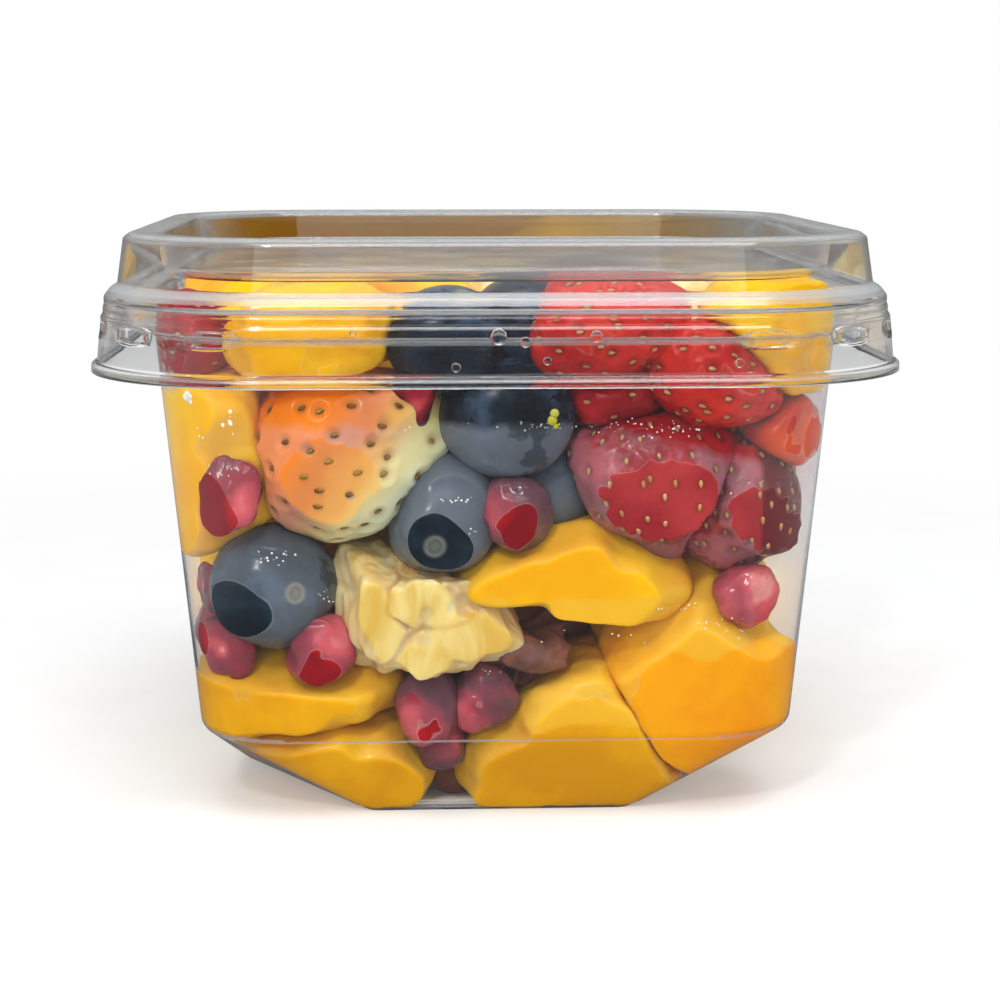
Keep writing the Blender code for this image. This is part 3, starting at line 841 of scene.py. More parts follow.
def crescent_relief(points, ways, middle):
    """A slice of mango: drawn out to a thin tip at the left, hollow under it, and
    longer at the right."""
    flat = np.hypot(ways[..., 0], ways[..., 2]) ** 2
    turn = np.degrees(np.arctan2(ways[..., 2], ways[..., 0]))

    def lobe(at, width):
        return np.exp(-(((turn - at + 180) % 360 - 180) / width) ** 2)
    shape = (3.0 * lobe(188, 11) - 3.4 * lobe(219, 20) - 1.2 * lobe(150, 16)
             + 1.4 * lobe(75, 30) + 1.0 * lobe(-9, 12) + 0.6 * lobe(-60, 25))
    return flat * shape + 0.12 * ripples(points, 6.0, 61)


def chunk_relief(seed):
    """Low swells of the cut faces and fine roughness."""
    def relief(points, ways, middle):
        return (0.28 * ripples(points, 11.0, seed) + 0.12 * ripples(points, 4.5, seed + 1)
                + 0.035 * ripples(points, 1.6, seed + 2))
    return relief


mango = flesh("mango_flesh", mango_colours(rgb(246, 192, 4), rgb(238, 168, 0),
                                           rgb(250, 194, 0), rgb(242, 172, 0)),
              fog=0.04, coat=0.2, line=0.08)
# A darker copy of the flesh for the low pieces at the front: painted shade, as less light
# reaches the bottom of the tub.
mango_shaded_low = flesh("mango_shaded_low", mango_colours(rgb(236, 180, 4), rgb(220, 156, 0),
                                               rgb(238, 174, 0), rgb(222, 156, 0)),
                   fog=0.05, coat=0.2)
mango_ripe = flesh("mango_ripe", mango_colours(rgb(246, 176, 14), rgb(240, 158, 4),
                                               rgb(246, 166, 0), rgb(238, 148, 0)),
                   fog=0.04, coat=0.2)
front_grid, side_grid, cut_grid = (150, 96), (96, 60), (140, 88)
for seed, (name, finish, grid, extra) in enumerate((
        ("mango_corner", mango, front_grid, {"push": 1.1}),
        ("mango_rim_left", mango, front_grid, {}),
        ("mango_low_left", mango_shaded_low, front_grid, {"lean": (0, -0.06), "push": 0.9}),
        ("mango_floor_left", mango_shaded_low, front_grid, {"swell": 1.1, "push": 1.4}),
        ("mango_crescent", mango, front_grid, {
            "relief": crescent_relief, "tone": paler_past_line(-2.2, 0.45), "push": 1.9}),
        ("mango_floor_front", mango_shaded_low, front_grid, {
            "swell": 0.8, "lean": (0, -0.05), "push": 1.0,
            "tone": paler_past_line(4.5, 0.9, -1.0)}),
        ("mango_orange", mango_ripe, front_grid, {
            "swell": 0.6, "push": 0.8, "tone": paler_past_line(3.0, 0.9, -1.0)}),
        ("mango_rim_right", mango, front_grid, {}),
        ("mango_left", mango, cut_grid, {"cut": 3}),
        ("mango_left_top", mango, cut_grid, {"cut": 4}),
        ("mango_back_a", mango, cut_grid, {"cut": 5}),
        ("mango_back_b", mango_ripe, cut_grid, {"cut": 6}),
        ("mango_back_c", mango, cut_grid, {"cut": 7}),
        ("mango_back_d", mango, cut_grid, {"cut": 8}),
        ("mango_right", mango, cut_grid, {"cut": 9}),
        ("mango_corner_back", mango, cut_grid, {"cut": 10}),
        ("mango_top", mango, cut_grid, {"cut": 11}))):
    extra.setdefault("relief", chunk_relief(10 * seed + 5))
    if "cut" in extra:
        extra |= {"swell": 1.3, "push": 0.9}
    slot = "mango_ripe" if finish is mango_ripe else "mango_flesh"
    grow(name, finish, slot, grid=grid, edge=0.055, **extra)


# --------------------------------------------------------------- pineapple and peach
# Pineapple chunks: pale, with bundles of fibre that fray at the ends. Peach and orange
# lie behind in the gaps.
def pineapple_colours(tree, place):
    """Strands from cream to straw, darkened to brown in the folds between bundles as painted
    shade.
    """
    turned = node(tree, "ShaderNodeMapping", {"Vector": place, "Scale": (1, 1, 0.35)})
    strand = noise(tree, turned.outputs[0], 210.0, 5.0, Distortion=0.6)
    dry = ramp(tree, strand, ((0.35, rgb(238, 218, 156)), (0.62, rgb(220, 180, 92))))
    wet = ramp(tree, strand, ((0.35, rgb(238, 214, 136)), (0.62, rgb(222, 182, 84))))
    # Painted shade in the folds between bundles.
    fold = maths(tree, "MULTIPLY", kept(tree, "tone"), 0.5)
    dry = mix(tree, fold, dry, rgb(190, 130, 44))
    wet = mix(tree, fold, wet, rgb(206, 146, 40))
    return dry, wet, strand


def fibre_shape(seed, spread):
    """Bundles of fibre: waves much longer down the piece than across it, with curled
    folds between them where slow waves cross nought. spread draws the sides out."""
    def fold(points, middle):
        turned = points @ np.array([(0.9, 0.1, 0.4), (0, 1, 0), (-0.4, 0.1, 0.9)])
        waves = 0.7 * np.exp(-(ripples(turned * (1, 1, 0.5), 13.0, seed + 3) / 0.2) ** 2)
        x, z = points[..., 0] - middle[0] + 0.5, points[..., 2] - middle[2] - 0.5
        turn = np.arctan2(z, -x)
        coil = np.hypot(x, z * 0.8) - 3.6 - 1.1 * turn - 0.5 * ripples(points, 4.0, seed + 4)
        curl = np.exp(-(coil / 0.45) ** 2) * np.clip((turn + 1.6) / 0.8, 0, 1)
        return np.maximum(waves, spread * curl)

    def relief(points, ways, middle):
        drawn = points * (1, 1, 0.28)
        return (0.5 * ripples(points, 9.0, seed) + 0.26 * ripples(drawn, 3.2, seed + 1)
                + 0.10 * ripples(drawn, 1.3, seed + 2)
                + spread * 0.3 * ripples(points, 5.0, seed + 5)
                + 0.9 - 0.8 * fold(points, middle)
                + spread * (3.2 * toward(ways, (1.0, -0.2, -0.05), 0.42)
                            - 1.6 * toward(ways, (0.1, 0.0, -1.0), 0.45)
                            + 2.4 * toward(ways, (-0.75, -0.1, 0.65), 0.45)))
    return {"relief": relief, "tone": fold}


pineapple = flesh("pineapple_flesh", pineapple_colours, rough=0.3,
                  scatter=(0.35, (1.0, 0.8, 0.4), 0.004), bump=0.6, fog=0.12, line=0.03)
for seed, (name, grid, cut, spread) in enumerate((
        ("pineapple_middle", (260, 170), None, 1.0), ("pineapple_left", cut_grid, 21, 0.0),
        ("pineapple_right", cut_grid, 22, 0.0), ("pineapple_top", cut_grid, 23, 0.0))):
    grow(name, pineapple, "pineapple_flesh", grid=grid, edge=0.06, cut=cut,
         push=0.55 if cut else 0.05, swell=1.1 if cut else 0.3,
         **fibre_shape(10 * seed + 405, spread))


def ragged_relief(points, ways, middle):
    """A torn piece: deep uneven hollows between lumps."""
    return (1.3 * ripples(points, 10.0, 511) - 0.9 * np.abs(ripples(points, 5.0, 512))
            + 0.15 * ripples(points, 1.8, 513) + 0.4)


peach = flesh("peach_flesh", mango_colours(rgb(160, 96, 66), rgb(112, 60, 44),
                                           rgb(150, 84, 44), rgb(116, 54, 30)),
              fog=0.10, bump=0.5)
grow("peach_middle", peach, "peach_flesh", grid=front_grid, edge=0.08, push=-0.6,
     relief=ragged_relief)
orange = flesh("orange_flesh", mango_colours(rgb(206, 70, 4), rgb(168, 24, 4),
                                             rgb(204, 64, 2), rgb(160, 18, 4)), fog=0.0)
grow("orange_right", orange, "orange_flesh", edge=0.08, relief=chunk_relief(515))


# -------------------------------------------------------------------------- blueberries
# Whole berries: nearly round, dark blue under a thin grey bloom, with the small ring
# where each one was picked from its stalk.
def berry_colours(tree, place):
    """A grey bloom in clouds over dark blue, worn off in flecks, with a pale scar."""
    bloom = noise(tree, place, 130.0, 4.0, Roughness=0.6)
    worn = between(tree, noise(tree, place, 420.0), 0.41, 0.36)
    dry = ramp(tree, bloom, ((0.35, rgb(6, 12, 20)), (0.50, rgb(20, 30, 42)),
                             (0.68, rgb(54, 68, 88))))
    dry = mix(tree, worn, dry, rgb(12, 18, 28))
    wet = ramp(tree, bloom, ((0.35, rgb(10, 24, 34)), (0.7, rgb(34, 52, 64))))
    scar = kept(tree, "tone")
    dry = mix(tree, scar, dry, rgb(150, 140, 110))
    wet = mix(tree, scar, wet, rgb(120, 124, 112))
    return dry, wet, bloom


scar_half = 1.25


def scar_at(way, crown):
    """Relief and tone of the stalk's scar, a low ring round a shallow pit, and of the
    crown at the other end, a wider ring of five points round a deep one."""
    way = np.array(way, float) / np.linalg.norm(way)
    side = np.cross(way, (0.3, 0.5, 0.8))
    side /= np.linalg.norm(side)

    def apart(points, middle):
        from_middle = points - middle
        length = np.linalg.norm(from_middle, axis=-1)
        angle = np.arccos(np.clip(from_middle @ way / length, -1, 1))
        return angle * length / scar_half

    def relief(points, ways, middle):
        d = apart(points, middle)
        far = np.arccos(np.clip(-(ways @ way), -1, 1)) * 3.4
        turn = np.arctan2(ways @ np.cross(way, side), ways @ side)
        star = (0.8 * np.exp(-((far - 1 - 0.12 * np.cos(5 * turn)) / 0.2) ** 2)
                * (0.6 + 0.4 * np.cos(5 * turn)) - 0.9 * np.exp(-(far / 0.8) ** 4))
        return (0.16 * np.exp(-((d - 1) / 0.28) ** 2) - 0.28 * np.exp(-(d / 0.7) ** 2)
                + 0.10 * ripples(points, 9.0, 7) + crown * star)

    def tone(points, middle):
        d = apart(points, middle)
        return (0.75 * np.exp(-((d - 1) / 0.22) ** 2) + 0.55 * np.exp(-(d / 0.75) ** 4))
    return {"relief": relief, "tone": tone}


berry = flesh("blueberry_skin", berry_colours, rough=0.22,
              scatter=(0.0, (1, 1, 1), 0.001), bump=0.09, line=0.07, fog=0.3, coat=0.35)
for name, grid, scar, extra in (
        ("blueberry_left", front_grid, (0.42, -0.9, 0.02), {
            "lean": (-0.15, -0.2), "push": 0.0}),
        ("blueberry_middle", front_grid, (-0.2, -0.92, -0.36), {
            "lean": (-0.2, -0.3), "push": 0.15}),
        ("blueberry_upper", front_grid, (0.3, 0.2, 0.9), {"push": -0.5}),
        ("blueberry_rim_a", side_grid, (0.3, -0.5, 0.8), {"push": -0.4}),
        ("blueberry_rim_b", side_grid, (0.1, 0.5, 0.8), {"push": -0.4}),
        ("blueberry_behind", side_grid, (0.8, 0.5, 0.3), {}),
        ("blueberry_left_side", cut_grid, (0.7, -0.2, -0.65), {}),
        ("blueberry_back_a", side_grid, (0.2, 0.9, 0.3), {}),
        ("blueberry_back_b", cut_grid, (0.1, -0.75, -0.65), {}),
        ("blueberry_right_side", cut_grid, (-0.65, 0.3, -0.7), {}),
        ("blueberry_top", cut_grid, (0.1, 0.25, -0.93), {})):
    extra.setdefault("push", 0.3)
    grow(name, berry, "blueberry_skin", grid=grid, edge=0.30,
         **scar_at(scar, grid == cut_grid), **extra)


# ------------------------------------------------------------------- pomegranate seeds
# Juicy seeds about 10 mm long: clear red flesh over a pale core, with soft flats where
# they grew against each other.
def aril_colours(tree, place):
    """Dark red to pink with the tone of the core, a little cloudy; the pale end is partly the
    seed's own colour and partly painted highlight.
    """
    core = kept(tree, "tone")
    cloud = noise(tree, place, 260.0, 3.0)
    amount = maths(tree, "MULTIPLY_ADD", cloud, 0.5, core)
    dry = ramp(tree, amount, ((0.20, rgb(84, 10, 30)), (0.45, rgb(150, 22, 42)),
                              (0.75, rgb(206, 72, 82)), (1.0, rgb(236, 148, 142))))
    wet = ramp(tree, amount, ((0.30, rgb(128, 6, 20)), (0.65, rgb(178, 14, 26)),
                              (1.0, rgb(226, 84, 74))))
    return dry, wet, cloud


def aril_shape(seed, pale, carve):
    """Soft flats, and a tone that is high where the pale core lies near the skin, mostly on the
    side turned to the front, in streaks that run out from it. That pale tone is partly the seed
    seen through the flesh and partly painted highlight."""
    def relief(points, ways, middle):
        return (0.26 * ripples(points, 6.5, seed) + 0.07 * ripples(points, 2.5, seed + 1)
                + 0.012 * ripples(points, 1.2, seed + 2)
                + carve * (1.4 * toward(ways, (-0.6, -1.0, -0.5), 0.9)
                           - toward(ways, (0.5, 0.0, 0.85), 0.8)))

    def tone(points, middle):
        rng = np.random.default_rng(seed)
        # The pale side turns mostly to the front, where the highlight is painted.
        way = rng.normal(size=3) * (1, 0.5, 1) + (0, -0.8, 0)
        way /= np.linalg.norm(way)
        from_middle = points - middle
        facing = from_middle @ way / np.linalg.norm(from_middle, axis=-1)
        streak = 0.85 + 0.10 * ripples(from_middle * (1, 1, 0.4), 2.6, seed + 3)
        return np.clip((facing - 0.45) / 0.55, 0, 1) ** 1.2 * 0.5 * streak + pale
    return {"relief": relief, "tone": tone}


aril = flesh("aril_skin", aril_colours, rough=0.16,
             scatter=(0.4, (1.0, 0.12, 0.10), 0.004), bump=0.2, line=0.12, fog=0.13,
             coat=0.6)
for seed, (name, swell, lean, push, pale) in enumerate((
        ("aril_upper_left", 1.3, (-0.25, -0.28), -0.25, 0.12),
        ("aril_left_a", 0.4, (0, 0), -0.3, 0.05), ("aril_left_b", 0.4, (-0.2, 0), -0.2, 0.1),
        ("aril_left_c", 0.4, (-0.2, 0), -0.2, 0.05),
        ("aril_middle_left", 0.5, (0.05, -0.3), 0.0, 0.15),
        ("aril_centre", 0.9, (0.05, -0.1), 0.0, -0.12), ("aril_upper", -0.6, (0, 0), -2.2, 0.0),
        ("aril_low_a", 0.6, (0, -0.12), 0.1, 0.0), ("aril_low_b", 0.5, (-0.1, 0.0), -0.1, 0.05),
        ("aril_low_c", 0.3, (0, 0), -0.3, 0.0), ("aril_right", 0.5, (0, 0), -0.8, 0.36))):
    grow(name, aril, "aril_skin", grid=(100, 64), edge=0.14, push=push, swell=swell,
         lean=lean, **aril_shape(10 * seed + 605, pale,
                                 -2.6 if name == "aril_upper" else 0.0))


# ------------------------------------------------------------------------ strawberries
# Whole and halved berries: glossy skin drawn into a pit round every seed. The seeds
# are tan drops on the red ones and brown on the pale, half-ripe one.
def spiral(count):
    """Even places over a ball along a golden spiral, from the pole down."""
    k = np.arange(count) + 0.5
    v = np.arccos(1 - 2 * k / count)
    u = k * math.pi * (3 - 5 ** 0.5)
    return np.stack([np.sin(v) * np.cos(u), np.sin(v) * np.sin(u), np.cos(v)], 1)


def turned_to(pole, ways):
    """Ways given round +Z, turned round a pole."""
    pole = np.array(pole, float) / np.linalg.norm(pole)
    side = np.cross(pole, (0.0, 0.0, 1.0) if abs(pole[2]) < 0.9 else (0.0, 1.0, 0.0))
    side /= np.linalg.norm(side)
    return ways @ np.stack([side, np.cross(pole, side), pole])


def strawberry_colours(skin, shade, pressed, pressed_shade, pit):
    """Two reds in clouds, dry and pressed, darker where the shade value says, and darkened in
    the pits round the seeds with a colour that is painted shade."""
    def build(tree, place):
        cloud = noise(tree, place, 95.0, 4.0)
        pits = kept(tree, "tone")
        dry = ramp(tree, cloud, ((0.35, skin), (0.65, shade)))
        wet = ramp(tree, cloud, ((0.35, pressed), (0.65, pressed_shade)))
        # Painted shade, darker where the kept shade value is high, as at the far right.
        dark = kept(tree, "shade")
        dry = mix(tree, dark, dry, rgb(92, 4, 14))
        wet = mix(tree, dark, wet, rgb(100, 6, 16))
        # Painted shade in the pits round the seeds.
        dry = mix(tree, pits, dry, pit)
        wet = mix(tree, maths(tree, "MULTIPLY", pits, 0.5), wet, pit)
        return dry, wet, noise(tree, place, 900.0)
    return build


def seed_drop(long, wide):
    """A seed as a low drop: a point on top, a ring half way out, a ring at the skin and
    a point under it, each ring an oval that is narrower towards the berry's tip."""
    t = np.arange(8) * math.pi / 4
    taper = 1 - 0.28 * np.cos(t)
    rings = [np.stack([long * share * np.cos(t), wide * share * np.sin(t) * taper,
                       np.full(8, high)], 1) for share, high in ((0.55, 0.22), (1.0, 0.0))]
    points = np.concatenate([[(0, 0, 0.26)], *rings, [(0, 0, -0.25)]])
    upper = np.arange(8) + 1
    upper_next = upper % 8 + 1
    lower, lower_next = upper + 8, upper_next + 8
    faces = np.concatenate([np.stack(corners, 1) for corners in (
        (np.zeros(8, int), upper, upper_next), (upper, lower, lower_next),
        (upper, lower_next, upper_next), (lower, np.full(8, 17), lower_next))])
    return points, faces


seed_verts, seed_faces, seed_kinds = [], [], []


def lay_seeds(mesh, rows, places, pole, size, kind):
    """Put a seed at each place, on the skin's point of that row, its long way down the
    berry; kind is the number of its coat."""
    skin = np.empty(len(mesh.vertices) * 3)
    mesh.vertices.foreach_get("co", skin)
    skin = skin.reshape(-1, 3)[:-2] / MM
    level = np.cross(places, np.array(pole, float))
    level /= np.linalg.norm(level, axis=1)[:, None] + 1e-9
    drop, faces = seed_drop(*size)
    centres = skin[rows] + places * 0.12
    frames = np.stack([np.cross(level, places), level, places], 1)
    verts = centres[:, None] + np.einsum("pk,nkc->npc", drop, frames)
    count = len(places)
    starts = sum(map(len, seed_verts)) + len(drop) * np.arange(count)[:, None, None]
    seed_verts.append(verts.reshape(-1, 3))
    seed_faces.append((faces + starts).reshape(-1, 3))
    seed_kinds.append(np.full(len(faces) * count, kind))


def strawberry(name, material, slot, pole, seed, grid=side_grid, spacing=3.4, kind=0,
               seed_size=(0.64, 0.34), tip=0.5, lobes=(), **extra):
    """Grow a strawberry, drawn out at its tip, with a pit round every seed, and lay the
    seeds in the pits. lobes are (way, height in mm, angle) swells of its own shape."""
    ways = compass(pole, *grid)
    middle, reach = packed_reach(name, ways)
    reach = soften(reach, 0.12) + 0.35
    size = float(reach.mean())
    count = int(4 * math.pi * size ** 2 / (0.87 * spacing ** 2))
    rng = np.random.default_rng(seed)
    places = spiral(count) + rng.normal(scale=0.16 * spacing / size, size=(count, 3))
    places = turned_to(pole, places / np.linalg.norm(places, axis=1)[:, None])
    nearest = np.concatenate([np.arccos(np.clip(row @ places.T, -1, 1)).min(-1)[None]
                              for row in ways]) * reach

    def relief(points, ways, middle):
        pit = np.exp(-(nearest / 0.85) ** 2)
        return (0.16 * ripples(points, 7.0, seed) + 0.22 - 0.62 * pit
                + 0.12 * np.exp(-((nearest - 1.5) / 0.5) ** 2)
                + tip * toward(ways, pole, 0.34)
                + sum((high * toward(ways, way, spread) for way, high, spread in lobes),
                      np.zeros(points.shape[:2])))

    # The tone marks the pits, where shade is painted round each seed.
    def tone(points, middle):
        return np.exp(-(nearest / 0.62) ** 2)

    mesh = grow(name, material, slot, pole=pole, grid=grid, edge=0.12, swell=0.35,
                relief=relief, tone=tone, **extra)
    rows = (ways.reshape(-1, 3) @ places.T).argmax(0)
    lay_seeds(mesh, rows, places, pole, seed_size, kind)


def shade_far_right(points, middle):
    """Painted shade: darker flesh beyond a line 36 mm out."""
    return np.clip((points[..., 0] - 36.0) / 0.6, 0, 1)


# The last colour of each red is the painted shade in the pits round the seeds.
red = flesh("strawberry_red", strawberry_colours(
    rgb(172, 22, 30), rgb(136, 10, 18), rgb(178, 54, 56), rgb(154, 34, 40),
    rgb(124, 26, 26)), rough=0.22, scatter=(0.2, (1.0, 0.15, 0.1), 0.003), bump=0.22,
    line=0.10, fog=0.24, coat=0.45)
bright = flesh("strawberry_bright", strawberry_colours(
    rgb(204, 40, 24), rgb(174, 20, 16), rgb(206, 56, 34), rgb(186, 34, 24),
    rgb(140, 26, 16)), rough=0.22, scatter=(0.2, (1.0, 0.2, 0.1), 0.003), bump=0.22,
    line=0.08, fog=0.0, coat=0.45)
for seed, (name, pole, grid, extra) in enumerate((
        ("strawberry_front", (0.12, 0.0, -1.0), (220, 140), {
            "tip": 2.4, "lean": (0.04, -0.26), "push": 0.7, "spacing": 3.7, "lobes": (
                ((1.0, 0.0, 0.25), 2.6, 0.38), ((-1.0, 0.0, 0.2), 1.2, 0.34),
                ((0.75, 0.0, -0.65), -0.9, 0.4), ((-0.75, 0.0, -0.65), -1.2, 0.4))}),
        ("strawberry_right", (0.1, 0.0, -1.0), (220, 140), {
            "lean": (-0.18, -0.2), "push": 0.2, "shade": shade_far_right}),
        ("strawberry_rim_a", (1.0, 0.0, 0.1), (220, 140), {"push": -0.2}),
        ("strawberry_rim_b", (0.98, 0.0, -0.2), (220, 140), {"push": -0.1}),
        ("strawberry_dark", (1.0, 0.0, 0.0), side_grid, {"shade": shade_far_right}),
        ("strawberry_corner", (-1.0, 0.0, 0.0), side_grid, {}),
        ("strawberry_left", (0.0, 0.14, 0.99), side_grid, {}),
        ("strawberry_back_a", (-0.34, 0.0, -0.94), side_grid, {}),
        ("strawberry_back_b", (0.17, 0.0, -0.98), side_grid, {}),
        ("strawberry_right_side", (0.0, 0.17, -0.98), side_grid, {}),
        ("strawberry_top", (0.87, 0.5, 0.0), side_grid, {}))):
    strawberry(name, bright if "rim" in name else red, "strawberry_red", pole,
               10 * seed + 705, grid, **extra)


def pale_colours(tree, place):
    """Orange-red at the shoulder, running out to cream at the tip."""
    parts = split(tree, place)
    across = maths(tree, "MULTIPLY_ADD", parts["X"], -40.0, -0.44)
    rise = maths(tree, "MULTIPLY_ADD", parts["Z"], 34.0, -1.62)
    cloud = noise(tree, place, 90.0, 4.0)
    way = maths(tree, "ADD", maths(tree, "ADD", across, rise),
                maths(tree, "MULTIPLY_ADD", cloud, 0.5, -0.25))
    pits = kept(tree, "tone")
    dry = ramp(tree, way, ((0.04, rgb(240, 240, 190)), (0.26, rgb(238, 220, 140)),
                           (0.46, rgb(228, 170, 92)), (0.70, rgb(214, 126, 76)),
                           (0.96, rgb(242, 128, 8))))
    wet = mix(tree, 0.3, dry, rgb(232, 150, 62))
    # Painted shade in the pits round the seeds.
    dry = mix(tree, maths(tree, "MULTIPLY", pits, 0.6), dry, rgb(170, 124, 56))
    return dry, wet, cloud


pale = flesh("strawberry_pale", pale_colours, rough=0.26,
             scatter=(0.3, (1.0, 0.5, 0.25), 0.004), bump=0.2,
             fog=0.27, line=0.02, coat=0.4)
strawberry("strawberry_pale", pale, "strawberry_pale", (0.98, -0.1, 0.16), 905,
           (240, 150), spacing=4.6, kind=1, seed_size=(0.9, 0.40), tip=2.6,
           lean=(-0.05, -0.09), push=0.2, lobes=(
               ((0.78, 0.0, 0.62), 3.6, 0.36), ((0.66, -0.45, 0.6), 2.8, 0.3)))


def mottled(name, light, dark, scale, rough):
    """Plain hard or wet surface of two tones, such as a seed's dry coat."""
    made, tree = new_material(name)
    cloud = noise(tree, own_place(tree), scale)
    feed(tree.nodes["Principled BSDF"], {
        "Base Color": ramp(tree, cloud, ((0.35, light), (0.65, dark))), "Roughness": rough})
    return made


seed_coats = [mottled(name, light, dark, 500.0, 0.35) for name, light, dark in (
    ("seed_tan", rgb(204, 156, 104), rgb(172, 118, 66)),
    ("seed_brown", rgb(158, 122, 44), rgb(108, 70, 26)))]
seeds = smooth_mesh("strawberry_seeds", np.concatenate(seed_verts),
                    np.concatenate(seed_faces).tolist(), seed_coats)
seeds.polygons.foreach_set("material_index", np.concatenate(seed_kinds).astype(np.int32))
set_piece(seeds, "strawberry_red")


# --------------------------------------------------------------------- fruit behind
# The fruit in the middle, seen only in the gaps: a packed heap of soft pieces.
def middle_colours(tree, place):
    """Brown below to pale orange above, in clouds."""
    cell = node(tree, "ShaderNodeTexVoronoi", {"Vector": place, "Scale": 75.0},
                feature="SMOOTH_F1")
    cloud = noise(tree, place, 60.0, 3.0)
    level = maths(tree, "MULTIPLY_ADD", split(tree, place)["Z"], 22.0, -0.55)
    dry = ramp(tree, maths(tree, "ADD", level, cloud), (
        (0.3, rgb(122, 70, 44)), (0.6, rgb(186, 134, 100)), (0.8, rgb(222, 184, 136)),
        (1.0, rgb(204, 150, 84))))
    wet = mix(tree, 0.4, dry, rgb(190, 110, 40))
    return dry, wet, cell.outputs["Distance"]


def heap_relief(points, ways, middle):
    """Rounded lumps the size of cut fruit, drawn down into the gap at the front."""
    return (1.6 * np.abs(ripples(points, 17.0, 801)) + 0.5 * ripples(points, 6.0, 802)
            + 4.5 + 13.0 * toward(ways, (-0.16, -0.66, -0.73), 0.30))


heap = flesh("fruit_middle", middle_colours, bump=0.6)
grow("fruit_middle", heap, "fruit_middle", grid=(160, 100), edge=0.05, push=0.0,
     relief=heap_relief)


# ------------------------------------------------------------------ juice on the wall
# Froth of small bubbles where wet fruit lies against the plastic, coloured near white as
# painted glints, and clear drops that hang on the lid and at its step. Each is a flattened bead
# resting on the sheet.
def beads(name, centres, facing, sizes, flat, finish, slot):
    """Flattened balls: a ring grid of unit ways, stretched by each bead's size across
    its own facing way and by flat times that along it."""
    around, r = 8, np.radians([28, 58, 90, 122, 152])
    t = np.arange(around) * 2 * math.pi / around
    ring = np.stack([np.outer(np.sin(r), np.cos(t)), np.outer(np.sin(r), np.sin(t)),
                     np.outer(np.cos(r), np.ones(around))], -1).reshape(-1, 3)
    local = np.concatenate([ring, [(0, 0, 1), (0, 0, -1)]]) * (1, 1, flat)
    side = np.cross(facing, (0.13, 0.27, 0.95))
    side /= np.linalg.norm(side, axis=1)[:, None]
    frames = np.stack([side, np.cross(facing, side), facing], 1)
    verts = centres[:, None] + sizes[:, None, None] * np.einsum("pk,nkc->npc", local, frames)
    step = np.arange(around)
    after = (step + 1) % around
    top, last = len(ring), len(ring) - around
    caps = np.concatenate([
        np.stack([step, after, np.full(around, top)], -1),
        np.stack([last + after, last + step, np.full(around, top + 1)], -1)])
    starts = len(local) * np.arange(len(centres))[:, None, None]
    faces = ((ring_quads(len(r), around) + starts).reshape(-1, 4).tolist()
             + (caps + starts).reshape(-1, 3).tolist())
    set_piece(smooth_mesh(name, verts.reshape(-1, 3), faces, [finish], outward=True), slot)


def on_wall(points, past):
    """Points moved level to the tub's inner wall and past it, and the wall's ways."""
    gap, way = wall_gap(points)
    points = points.copy()
    points[:, :2] += way * (gap + past)[:, None]
    return points, np.column_stack([way, np.zeros(len(way))])


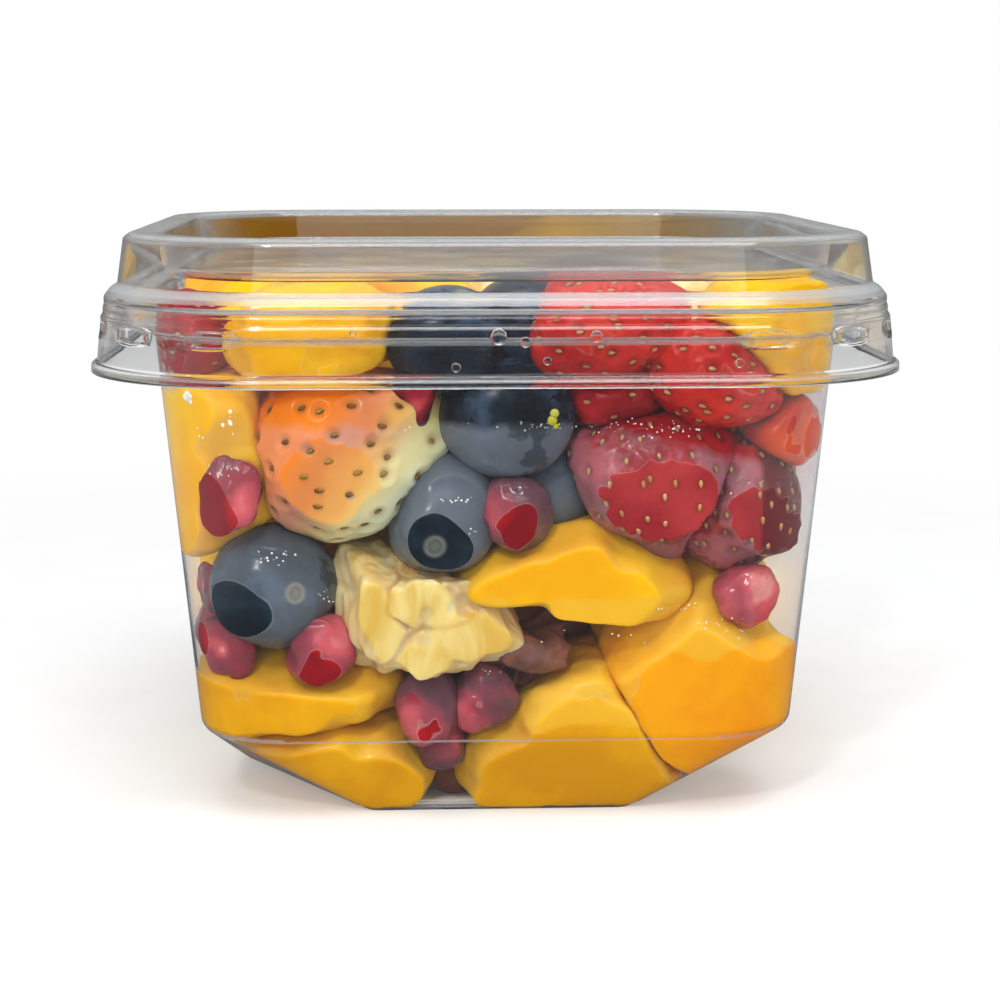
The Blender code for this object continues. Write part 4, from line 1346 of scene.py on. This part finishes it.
# Near-white froth: the bubbles are real, their whiteness is painted glint.
froth_glint = mottled("juice_froth", rgb(255, 250, 240), rgb(222, 214, 204), 600.0, 0.15)
rng = np.random.default_rng(1201)
spots = []
for x, z, wide, high, count, most in (
        (-41.9, 61.1, 0.7, 0.35, 14, 0.62), (-34.6, 58.1, 0.5, 0.8, 10, 0.36),
        (-39.3, 56.0, 0.6, 0.6, 6, 0.30), (24.0, 56.6, 2.6, 0.9, 30, 0.17),
        (14.9, 57.8, 2.0, 0.7, 12, 0.14), (30.0, 27.5, 1.6, 1.8, 34, 0.17),
        (26.0, 31.5, 2.4, 0.5, 14, 0.14), (-30.5, 39.4, 1.0, 0.5, 16, 0.18),
        (-6.4, 47.2, 1.0, 0.4, 14, 0.17), (-4.0, 43.4, 0.3, 0.5, 5, 0.14),
        (-36.5, 50.8, 1.1, 1.4, 18, 0.15), (-24.5, 33.2, 0.8, 0.9, 10, 0.14),
        (6.5, 57.6, 5.5, 0.35, 30, 0.13), (-14.0, 58.4, 1.0, 1.6, 6, 0.18),
        (33.5, 47.0, 2.2, 3.2, 14, 0.16), (-2.0, 22.5, 0.7, 0.6, 5, 0.16),
        (16.0, 27.5, 3.5, 0.8, 10, 0.15)):
    place = rng.normal(size=(count, 2)) * (wide, high) + (x, z)
    size = most * rng.uniform(0.25, 1.0, count) ** 1.4
    spots.append(np.column_stack([place, size]))
spots = np.concatenate(spots)
start = np.column_stack([spots[:, 0], np.full(len(spots), -40.0), spots[:, 1]])
beads("juice_froth", *on_wall(start, 0.02), spots[:, 2], 0.5, froth_glint, "fruit_middle")

crumb = flesh("fruit_crumb", mango_colours(rgb(186, 178, 30), rgb(150, 140, 10),
                                           rgb(186, 178, 30), rgb(150, 140, 10)), fog=0.0)
bits = np.array([(7.1, -50.0, 59.4, 0.65), (6.8, -50.0, 58.4, 0.7), (7.3, -50.0, 57.6, 0.4)])
beads("fruit_crumbs", *on_wall(bits[:, :3], -0.05), bits[:, 3], 0.5, crumb, "mango_flesh")

drop = clear_plastic("juice_drop", 0.02, 1.34)
hung = np.array([
    (-0.9, -55.6, 70.6, 1.2), (2.6, -55.6, 69.9, 0.8), (12.0, -55.6, 70.6, 0.9),
    (-6.5, -55.6, 66.6, 0.7), (-20.0, -55.4, 71.2, 0.5), (5.5, -55.6, 67.4, 0.6),
    (31.0, -55.5, 67.0, 0.7)])
beads("juice_drops", hung[:, :3], np.tile((0.0, -1.0, 0.0), (len(hung), 1)), hung[:, 3],
      0.45, drop, "lid_plastic")
fallen = np.array([(-24.5, -50.2, 83.2, 0.9), (-9.0, -50.4, 83.2, 0.5),
                   (20.0, -50.3, 83.2, 0.6), (-5.0, 12.0, 77.7, 1.1),
                   (-1.5, 14.0, 77.7, 0.9), (2.0, 11.0, 77.7, 1.0), (16.0, -8.0, 77.7, 0.7)])
beads("lid_drops", fallen[:, :3], np.tile((0.0, 0.0, 1.0), (len(fallen), 1)),
      fallen[:, 3], 0.4, drop, "lid_plastic")
